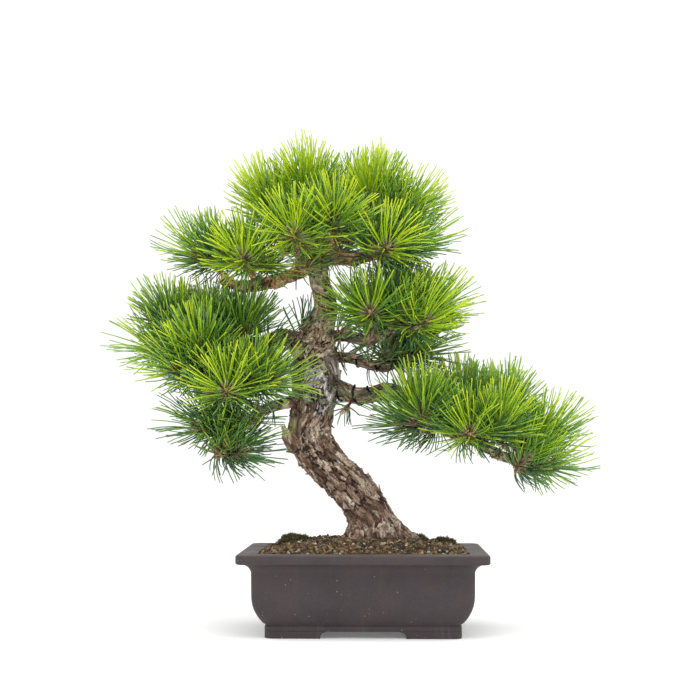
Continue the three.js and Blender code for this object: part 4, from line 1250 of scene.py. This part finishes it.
def bud_mesh():
    """A pointed bud one unit long, ridged by its scales."""
    shape = bmesh.new()
    rings = []
    levels = 6
    for k in range(levels + 1):
        t = k / levels
        radius = 0.24 * math.sin(math.pi * min(0.97, 0.22 + 0.76 * t)) * (1.12 if k % 2 else 0.92)
        rings.append([(radius * math.cos(2 * math.pi * s / 6 + k * 0.52),
                       radius * math.sin(2 * math.pi * s / 6 + k * 0.52), t) for s in range(6)])
    skin(shape, rings)
    return to_mesh(shape, "bud")


def build_buds(shoots):
    """One winter bud at the tip of every shoot."""
    sizes = {"Length": ("Float", 0.009), "Seed": ("Int", 3), "Material": ("Material", None)}
    tree, sheet, given, out = new_tree("bud_tips", sizes)
    maker = new_piece("bud", bud_mesh())
    bud = copy_of(sheet, maker)
    axis = named(sheet, "axis", "FLOAT_VECTOR")
    turned = sheet.add("FunctionNodeAlignRotationToVector", {"Vector": axis}, axis="Z").outputs[0]
    size = sheet.math("MULTIPLY", given["Length"], random_float(sheet, 0.75, 1.15, given["Seed"]))
    planted = sheet.add("GeometryNodeInstanceOnPoints", {
        "Points": given["Geometry"], "Instance": bud, "Rotation": turned, "Scale": size})
    real = realized(sheet, planted.outputs[0])
    send_out(sheet, real, given, out)
    material = new_material("winter_buds", paint_bud)
    points = shoot_points("bud_points", shoots)
    grow(points, tree, length=bpy.context.scene.bonsai_needles.bud_length, seed=3, material=material)
    piece = frozen(points, "winter_buds", material)
    drop(maker)
    ride_as(piece, "young_bark")


# ------------------------------------------------------------------ soil, moss, drainage, wires


def grain_mesh(name, seed, shares):
    """A rough stone of twenty faces, about one unit across."""
    draw = np.random.default_rng(seed)
    shape = bmesh.new()
    bmesh.ops.create_icosphere(shape, subdivisions=1, radius=0.5)
    for vertex in shape.verts:
        vertex.co = vertex.co * Vector(shares) * draw.uniform(0.78, 1.15)
    layer = shape.loops.layers.uv.new("OFBake")
    for face in shape.faces:
        for loop, spot in zip(face.loops, ((0, 0), (1, 0), (0.5, 1))):
            loop[layer].uv = spot
    return to_mesh(shape, name)


def grain_tree(makers):
    """Strews grains of mixed size over the soil."""
    sizes = {"Spacing": ("Float", 0.0024), "Smallest": ("Float", 0.0018), "Largest": ("Float", 0.0052),
             "Sink": ("Float", 0.0004), "Seed": ("Int", 2), "Material": ("Material", None)}
    tree, sheet, given, out = new_tree("soil_grains", sizes)
    strewn = sheet.add("GeometryNodeDistributePointsOnFaces", {
        "Mesh": given["Geometry"], "Distance Min": given["Spacing"], "Density Max": 500000.0,
        "Seed": given["Seed"]}, distribute_method="POISSON")
    seed = given["Seed"]
    chance = random_float(sheet, 0.0, 1.0, seed)
    width = sheet.ease(sheet.math("POWER", chance, 2.2), 0.0, 1.0, 0.0, 1.0)
    width = sheet.math("ADD", given["Smallest"], sheet.math(
        "MULTIPLY", width, sheet.math("SUBTRACT", given["Largest"], given["Smallest"])))
    spin = sheet.add("FunctionNodeRandomValue", {0: (0, 0, 0), 1: (6.28, 6.28, 6.28), "Seed": 7},
                     data_type="FLOAT_VECTOR").outputs[0]
    choice = choice_of(sheet, makers)
    pick = random_choice(sheet, makers, 11)
    lift = sheet.add("ShaderNodeCombineXYZ", {2: sheet.math("MULTIPLY", given["Sink"], -1.0)}).outputs[0]
    settled = sheet.add("GeometryNodeSetPosition", {"Geometry": strewn.outputs["Points"], "Offset": lift})
    planted = sheet.add("GeometryNodeInstanceOnPoints", {
        "Points": settled.outputs[0], "Instance": choice, "Pick Instance": True, "Instance Index": pick,
        "Rotation": spin, "Scale": width})
    hue = random_float(sheet, 0.0, 0.98, 13)
    geometry = store(sheet, planted.outputs[0], "hue", hue, "FLOAT", "INSTANCE")
    real = realized(sheet, geometry)
    own = sheet.add("ShaderNodeSeparateXYZ", {0: named(sheet, "OFBake", "FLOAT_VECTOR")})
    spot = sheet.add("ShaderNodeCombineXYZ", {
        0: sheet.math("ADD", named(sheet, "hue"), sheet.math("MULTIPLY", own.outputs[0], 0.012)),
        1: own.outputs[1]}).outputs[0]
    real = store(sheet, real, "OFBake", spot, "FLOAT2", "CORNER")
    send_out(sheet, real, given, out)
    return tree


def heap(shape):
    """Piles the top of the soil up unevenly, but not at the pot's wall."""
    rise = bpy.context.scene.bonsai_soil.heap
    half_x, half_y = (SOIL_HIGH.x - SOIL_LOW.x) / 2, (SOIL_HIGH.y - SOIL_LOW.y) / 2
    for vertex in shape.verts:
        if vertex.co.z > POT_HIGH.z - SOIL_EDGE:
            across = ((vertex.co.x - POT_MIDDLE.x) / half_x) ** 6
            deep = ((vertex.co.y - POT_MIDDLE.y) / half_y) ** 6
            lump = 0.85 + 0.8 * noise.noise(vertex.co * 38.0) + 0.5 * noise.noise(vertex.co * 90.0)
            vertex.co.z += rise * max(0.0, 1 - across) * max(0.0, 1 - deep) * lump


def soil_surface():
    """The upward faces of the CAD soil, cut finer."""
    shape = frame_mesh("soil")
    low = POT_HIGH.z - SOIL_EDGE
    hidden = [f for f in shape.faces if f.normal.z < 0.35 or f.calc_center_median().z < low]
    bmesh.ops.delete(shape, geom=hidden, context="FACES")
    bmesh.ops.subdivide_edges(shape, edges=shape.edges, cuts=2, use_grid_fill=True)
    heap(shape)
    mesh = bpy.data.meshes.new("soil_surface")
    shape.to_mesh(mesh)
    shape.free()
    return mesh


def build_soil():
    """Dark earth with loose grains strewn over it."""
    soil = bpy.context.scene.bonsai_soil
    shape = frame_mesh("soil")
    bmesh.ops.subdivide_edges(shape, edges=shape.edges, cuts=2, use_grid_fill=True)
    heap(shape)
    earth = new_piece("earth", to_mesh(shape, "earth"), new_material("damp_earth", paint_earth))
    mark_sharp(earth, 50)
    ride_as(earth, "soil", "soil")
    makers = [new_piece(f"grain_{i}", grain_mesh(f"grain_{i}", i, (1, 1, 0.82)), smooth=False)
              for i in range(7)]
    makers.append(new_piece("chip", grain_mesh("chip", 9, (1.7, 0.7, 0.22)), smooth=False))
    tree = grain_tree(makers)
    material = new_material("soil_grains", paint_grains)
    surface = new_piece("soil_top", soil_surface(), smooth=False)
    grow(surface, tree, spacing=soil.spacing, smallest=soil.smallest, largest=soil.largest, sink=soil.sink,
         seed=soil.seed, material=material)
    grains = frozen(surface, "soil_grains", material, smooth=False)
    for maker in makers:
        drop(maker)
    ride_as(grains, "soil")


def moss_tree(maker):
    """Lumps a cushion up and plants sprigs all over it."""
    sizes = {"Spacing": ("Float", MOSS_SPACING), "Blade": ("Float", MOSS_BLADE), "Seed": ("Int", 4),
             "Material": ("Material", None)}
    tree, sheet, given, out = new_tree("moss_cushion", sizes)
    where = sheet.add("GeometryNodeInputPosition").outputs[0]
    normal = sheet.add("GeometryNodeInputNormal").outputs[0]
    lump = sheet.math("MULTIPLY", sheet.math("SUBTRACT", sheet.noise(where, 110.0, 4.0, 0.7), 0.56), 0.02)
    body = sheet.add("GeometryNodeSetPosition", {
        "Geometry": given["Geometry"], "Offset": sheet.vector("SCALE", normal, lump)})
    strewn = sheet.add("GeometryNodeDistributePointsOnFaces", {
        "Mesh": body.outputs[0], "Distance Min": given["Spacing"], "Density Max": 900000.0,
        "Seed": given["Seed"]}, distribute_method="POISSON")
    sprig = copy_of(sheet, maker)
    lean = sheet.add("FunctionNodeRandomValue", {0: (-0.6, -0.6, 0), 1: (0.6, 0.6, 6.28), "Seed": 3},
                     data_type="FLOAT_VECTOR").outputs[0]
    turned = sheet.add("FunctionNodeRotateRotation", {
        "Rotation": strewn.outputs["Rotation"], "Rotate By": lean}, rotation_space="LOCAL").outputs[0]
    size = sheet.math("MULTIPLY", given["Blade"], random_float(sheet, 0.6, 1.3, 9))
    planted = sheet.add("GeometryNodeInstanceOnPoints", {
        "Points": strewn.outputs["Points"], "Instance": sprig, "Rotation": turned, "Scale": size})
    real = realized(sheet, planted.outputs[0])
    send_out(sheet, joined(sheet, real, body.outputs[0]), given, out)
    return tree


def sprig_mesh():
    """A three-leaved moss sprig, one unit high."""
    shape = bmesh.new()
    for k in range(3):
        turn = 2 * math.pi * k / 3
        out = Vector((math.cos(turn), math.sin(turn), 0))
        across = Vector((-out.y, out.x, 0)) * 0.16
        foot = [shape.verts.new(across), shape.verts.new(-across)]
        tip = shape.verts.new(out * 0.55 + Vector((0, 0, 1.0)))
        back = shape.verts.new(out * 0.1 + Vector((0, 0, 0.3)))
        shape.faces.new((foot[0], foot[1], tip))
        shape.faces.new((foot[1], foot[0], back))
        shape.faces.new((foot[0], tip, back))
        shape.faces.new((tip, foot[1], back))
    return to_mesh(shape, "moss_sprig")


def build_moss():
    """Each CAD clump as a cushion of sprigs."""
    maker = new_piece("moss_sprig", sprig_mesh())
    tree = moss_tree(maker)
    material = new_material("dry_moss", paint_moss)
    for number, node in enumerate(MOSSES):
        dome = new_piece("raw_" + node, to_mesh(frame_mesh(node), node))
        add_modifier(dome, "REMESH", mode="VOXEL", voxel_size=0.0014)
        dome = frozen(dome, "raw_" + node)
        grow(dome, tree, spacing=MOSS_SPACING, blade=MOSS_BLADE, seed=number + 4, material=material)
        piece = frozen(dome, "tufted_" + node, material)
        ride_as(piece, "moss", node)
    drop(maker)


def build_drainage():
    """The drain screens and the gravel keep their CAD shapes and get their finishes."""
    screen = new_material("moulded_screen", paint_screen)
    grit = new_material("coarse_grit", paint_grit)
    for node in SCREENS:
        set_finish(frame["nodes"][node], screen)
    set_finish(frame["nodes"]["drainage_gravel"], grit)


def set_finish(piece, material):
    """Puts one material on a CAD node in place of its own."""
    piece.data.materials.clear()
    piece.data.materials.append(material)


def build_wires():
    """Each training wire wound tight on its own limb's bark, over the stretch that the CAD wire takes."""
    wires = bpy.context.scene.bonsai_wires
    copper = new_material("copper_brown_wire", paint_wire((0.13, 0.045, 0.025)))
    black = new_material("black_wire", paint_wire((0.012, 0.011, 0.012)))
    for node in WIRES:
        limb = node.replace("wire_", "branch_")
        wound = points_of(node)
        bark = bpy.data.objects["bark_" + limb]
        reach = BVHTree.FromObject(bark, bpy.context.evaluated_depsgraph_get())
        spine = limb_line(limb)
        run = run_of(spine)
        nearest = np.linalg.norm(wound[:, None] - spine[None], axis=2).argmin(1)
        first, last = run[nearest.min()], run[nearest.max()]
        count = WIRE_STEPS * wires.turns
        path = []
        side = None
        for i in range(count + 1):
            along = first + (last - first) * i / count
            middle = Vector([np.interp(along, run, spine[:, k]) for k in range(3)])
            ahead = Vector([np.interp(along + 0.004, run, spine[:, k]) for k in range(3)]) - middle
            if ahead.length < 0.001:
                ahead = Vector(spine[-1] - spine[-2])
            ahead.normalize()
            side = carried(side, ahead)
            out = Quaternion(ahead, 2 * math.pi * i / WIRE_STEPS) @ side
            hit = reach.ray_cast(middle + out * 0.03, -out, 0.03)[0]
            path.append((middle, out, (hit - middle).length if hit else 0.005))
        radii = np.array([p[2] for p in path])
        radii = np.convolve(np.pad(radii, 3, mode="edge"), np.ones(7) / 7, "valid") + wires.thickness * 0.35
        shape = bmesh.new()
        line = [middle + out * r for (middle, out, _), r in zip(path, radii)]
        tube_into(shape, line, [wires.thickness / 2] * len(line), 10)
        left = node == "wire_left"
        piece = new_piece("training_" + node, to_mesh(shape, node), copper if left else black)
        ride_as(piece, "copper_wire" if left else "black_wire", node)


# ------------------------------------------------------------------ stage


def build_stage():
    """A pale floor, soft light from above and both sides, and the camera."""
    stage = bpy.context.scene.bonsai_stage
    mesh = bpy.data.meshes.new("floor")
    half = 6.0
    corners = [(-half, -half, 0), (half, -half, 0), (half, half, 0), (-half, half, 0)]
    mesh.from_pydata(corners, [], [(0, 1, 2, 3)])
    floor = new_piece("floor", mesh, new_material("pale_floor", paint_floor), smooth=False)
    world = bpy.data.worlds.new("studio")
    world.use_nodes = True
    world.node_tree.nodes["Background"].inputs["Color"].default_value = (1.0, 1.0, 1.0, 1.0)
    world.node_tree.nodes["Background"].inputs["Strength"].default_value = stage.world_light
    bpy.context.scene.world = world
    add_lamp("top_light", (0.1, -0.5, 1.7), (0.0, 0.0, 0.3), 1.6, stage.top_watts)
    add_lamp("left_light", (-1.5, -1.2, 1.1), (0.0, 0.0, 0.3), 1.2, stage.side_watts)
    add_lamp("right_light", (1.5, -1.0, 1.0), (0.0, 0.0, 0.3), 1.2, stage.side_watts * 0.8)
    lens = bpy.data.cameras.new("view")
    lens.lens = stage.lens
    lens.sensor_width = 36.0
    camera = bpy.data.objects.new("view", lens)
    camera.location = POT_MIDDLE + Vector(stage.camera_at)
    camera.rotation_euler = (math.radians(90) + stage.camera_pitch, 0.0, stage.camera_yaw)
    bpy.context.scene.collection.objects.link(camera)
    bpy.context.scene.camera = camera
    bpy.context.scene.view_settings.view_transform = "Standard"
    bpy.context.scene.view_settings.exposure = stage.exposure


def add_lamp(name, place, aim, size, watts):
    """A round area light at a place, turned to its aim."""
    lamp = bpy.data.lights.new(name, "AREA")
    lamp.shape = "DISK"
    lamp.size = size
    lamp.energy = watts
    holder = bpy.data.objects.new(name, lamp)
    holder.location = place
    holder.rotation_euler = (Vector(aim) - Vector(place)).to_track_quat("-Z", "Y").to_euler()
    bpy.context.scene.collection.objects.link(holder)


# ------------------------------------------------------------------ settings


def length(name, description, default):
    """A length in metres, shown in the panel."""
    return bpy.props.FloatProperty(name=name, description=description, default=default, subtype="DISTANCE",
                                   unit="LENGTH", precision=4)


class PotSettings(bpy.types.PropertyGroup):
    lip_overhang: length("Lip overhang", "Lip beyond the belly", 0.015)
    body_taper: length("Body taper", "Belly beyond the foot", 0.013)
    lip_height: length("Lip height", "Height of the turned-out lip", 0.010)
    lip_width: length("Lip width", "Flat top of the lip", 0.021)
    foot_band: length("Foot band", "Height of the straight band at the foot", 0.0135)
    foot_height: length("Foot height", "Clear height between the feet", 0.007)
    foot_thickness: length("Foot thickness", "Thickness of each foot", 0.016)
    foot_length_x: length("Foot length, wide side", "From a corner to the arch", 0.0575)
    foot_length_y: length("Foot length, narrow side", "From a corner to the arch", 0.046)
    arch_cove: length("Arch cove", "Quarter round at each foot's end", 0.0075)
    belly_rise: length("Belly rise", "Height over which the body rounds out above its foot", 0.0315)
    floor_top: length("Floor", "Top of the floor", 0.016)
    corner_radius: length("Corner radius", "Rounding of the pot's corners", 0.009)
    drain_radius: length("Drain radius", "Radius of a drain hole", 0.010)
    drain_spacing: length("Drain spacing", "Between the two drain holes", 0.090)
    clay_colour: bpy.props.FloatVectorProperty(name="Clay", description="Fired clay", subtype="COLOR",
                                               default=(0.05, 0.0385, 0.042), min=0.0, max=1.0)


class BarkSettings(bpy.types.PropertyGroup):
    trunk_detail: length("Trunk detail", "Size of the trunk's smallest facets", 0.00104)
    limb_detail: length("Limb detail", "Size of a limb's smallest facets", 0.0012)
    plate_size: length("Plate size", "Width of a bark plate", 0.0082)
    crack_depth: length("Crack depth", "Depth of a crack between plates", 0.0024)
    plate_lift: length("Plate lift", "Difference between high and low plates", 0.0022)
    flake_size: length("Flake size", "Width of a flake", 0.0042)
    flake_lift: length("Flake lift", "Height of a flake's edge", 0.0011)
    grain: length("Grain", "Height of the finest roughness", 0.0008)
    loose_share: bpy.props.FloatProperty(name="Loose flakes", default=0.45, min=0.0, max=1.0,
                                         description="Share of the old bark that is loose")
    stretch: bpy.props.FloatProperty(name="Stretch", description="Below 1 draws plates out along the limb",
                                     default=0.4, min=0.1, max=1.0)
    orange_from: length("Orange from", "Height where the trunk's bark turns young and orange", 0.385)


class NeedleSettings(bpy.types.PropertyGroup):
    length: length("Length", "Length of a needle", 0.0555)
    stem: length("Stem", "Stretch of shoot that bears needles", 0.020)
    bud_length: length("Bud length", "Length of a winter bud", 0.009)
    pairs: bpy.props.IntProperty(name="Pairs", description="Needle pairs on one shoot", default=36, min=1)
    side_shoots: bpy.props.IntProperty(name="Side shoots", description="Shoots that fork behind each bud",
                                       default=3)
    foot_angle: bpy.props.FloatProperty(name="Foot angle", description="Spread of the lowest needles",
                                        default=1.7, subtype="ANGLE")
    tip_angle: bpy.props.FloatProperty(name="Tip angle", description="Spread of the needles at the bud",
                                       default=0.42, subtype="ANGLE")
    wildness: bpy.props.FloatProperty(name="Wildness", description="Scatter of the spread",
                                      default=0.14, subtype="ANGLE")
    lift: bpy.props.FloatProperty(name="Lift", description="How much needles turn up to the light",
                                  default=0.3)
    broom: bpy.props.FloatProperty(name="Broom", description="Spread of an upright shoot, as a share",
                                   default=0.72)
    weak_shoots: bpy.props.IntProperty(name="Weak shoots", description="Sparse shoots on each limb",
                                       default=4)
    droop_length: bpy.props.FloatProperty(name="Droop length", default=0.5,
                                          description="Length of the lowest needles, as a share")
    thickness: length("Thickness", "Width of a needle", 0.0019)
    seed: bpy.props.IntProperty(name="Seed", description="Picks one of many like trees", default=17)


class SoilSettings(bpy.types.PropertyGroup):
    spacing: length("Spacing", "Least distance between grains", 0.002)
    smallest: length("Smallest", "Smallest grain", 0.0019)
    largest: length("Largest", "Largest grain", 0.0053)
    heap: length("Heap", "How much the soil is piled up", 0.0038)
    sink: length("Sink", "How deep grains sit", 0.0002)
    seed: bpy.props.IntProperty(name="Seed", description="Picks one of many like soils", default=2)


class WireSettings(bpy.types.PropertyGroup):
    thickness: length("Thickness", "Width of the wire", 0.0026)
    turns: bpy.props.IntProperty(name="Turns", description="Turns of each wire", default=2, min=1)


class StageSettings(bpy.types.PropertyGroup):
    lens: bpy.props.FloatProperty(name="Lens", description="Focal length on a 36 mm frame", default=73.4,
                                  subtype="DISTANCE_CAMERA")
    camera_at: bpy.props.FloatVectorProperty(name="Camera", description="Camera from the pot's middle",
                                             default=(0.0224, -1.555, 0.1944), subtype="TRANSLATION")
    camera_pitch: bpy.props.FloatProperty(name="Pitch", description="Camera tilt above level",
                                          default=math.radians(3.98), subtype="ANGLE")
    camera_yaw: bpy.props.FloatProperty(name="Yaw", description="Camera turn to the left",
                                        default=math.radians(1.38), subtype="ANGLE")
    world_light: bpy.props.FloatProperty(name="Room light", description="Light from all round", default=1.06)
    top_watts: bpy.props.FloatProperty(name="Top light", description="Power of the top light", default=17.0)
    side_watts: bpy.props.FloatProperty(name="Side light", description="Power of each side light",
                                        default=3.0)
    exposure: bpy.props.FloatProperty(name="Exposure", description="Exposure in stops", default=0.0)


# ------------------------------------------------------------------ operators


class BONSAI_OT_stage(bpy.types.Operator):
    """Set up the floor, the lights and the camera"""

    bl_idname = "bonsai.stage"
    bl_label = "Stage"

    def execute(self, context):
        build_stage()
        return {"FINISHED"}


class BONSAI_OT_pot(bpy.types.Operator):
    """Throw the clay pot"""

    bl_idname = "bonsai.pot"
    bl_label = "Pot"

    def execute(self, context):
        build_pot()
        return {"FINISHED"}


class BONSAI_OT_drainage(bpy.types.Operator):
    """Finish the drain screens and the gravel"""

    bl_idname = "bonsai.drainage"
    bl_label = "Drainage"

    def execute(self, context):
        build_drainage()
        return {"FINISHED"}


class BONSAI_OT_soil(bpy.types.Operator):
    """Strew the soil"""

    bl_idname = "bonsai.soil"
    bl_label = "Soil"

    def execute(self, context):
        build_soil()
        return {"FINISHED"}


class BONSAI_OT_moss(bpy.types.Operator):
    """Grow the moss"""

    bl_idname = "bonsai.moss"
    bl_label = "Moss"

    def execute(self, context):
        build_moss()
        return {"FINISHED"}


class BONSAI_OT_wood(bpy.types.Operator):
    """Grow the trunk and the limbs with their bark"""

    bl_idname = "bonsai.wood"
    bl_label = "Trunk and limbs"

    def execute(self, context):
        old = new_material("cracked_bark", paint_bark(False))
        young = new_material("scaly_bark", paint_bark(True))
        maker = new_piece("loose_flake", loose_flake())
        relief = bark_tree(maker)
        shoots = plan_shoots()
        trunk_line = trunk_spine(points_of("trunk"), SPINE_STEP)
        for node in WOOD:
            build_limb(node, shoots, trunk_line, relief, young if "crown" in node else old)
        drop(maker)
        return {"FINISHED"}


class BONSAI_OT_wires(bpy.types.Operator):
    """Wind the training wires"""

    bl_idname = "bonsai.wires"
    bl_label = "Wires"

    def execute(self, context):
        build_wires()
        return {"FINISHED"}


class BONSAI_OT_needles(bpy.types.Operator):
    """Grow the needles and buds"""

    bl_idname = "bonsai.needles"
    bl_label = "Needles"

    def execute(self, context):
        shoots = plan_shoots()
        build_needles(shoots)
        build_buds(shoots)
        return {"FINISHED"}


class BONSAI_PT_panel(bpy.types.Panel):
    """Lists the bonsai's steps"""

    bl_idname = "BONSAI_PT_panel"
    bl_label = "Pine Bonsai"
    bl_space_type = "VIEW_3D"
    bl_region_type = "UI"
    bl_category = "Bonsai"

    def draw(self, context):
        for settings in SETTINGS:
            box = self.layout.box()
            group = getattr(context.scene, settings)
            for key in group.bl_rna.properties.keys():
                if key not in ("rna_type", "name"):
                    box.prop(group, key)
        for step in STEPS:
            self.layout.operator(step.bl_idname)


SETTINGS = {
    "bonsai_pot": PotSettings,
    "bonsai_bark": BarkSettings,
    "bonsai_needles": NeedleSettings,
    "bonsai_soil": SoilSettings,
    "bonsai_wires": WireSettings,
    "bonsai_stage": StageSettings,
}
STEPS = (BONSAI_OT_stage, BONSAI_OT_pot, BONSAI_OT_drainage, BONSAI_OT_soil, BONSAI_OT_moss, BONSAI_OT_wood,
         BONSAI_OT_wires, BONSAI_OT_needles)


def register():
    for kind in (*SETTINGS.values(), *STEPS, BONSAI_PT_panel):
        bpy.utils.register_class(kind)
    for name, kind in SETTINGS.items():
        setattr(bpy.types.Scene, name, bpy.props.PointerProperty(type=kind))


def unregister():
    for name in SETTINGS:
        delattr(bpy.types.Scene, name)
    for kind in (BONSAI_PT_panel, *reversed(STEPS), *SETTINGS.values()):
        bpy.utils.unregister_class(kind)


def main():
    """Runs every step in order."""
    register()
    for step in STEPS:
        group, action = step.bl_idname.split(".")
        getattr(getattr(bpy.ops, group), action)()


if __name__ == "__main__":
    main()
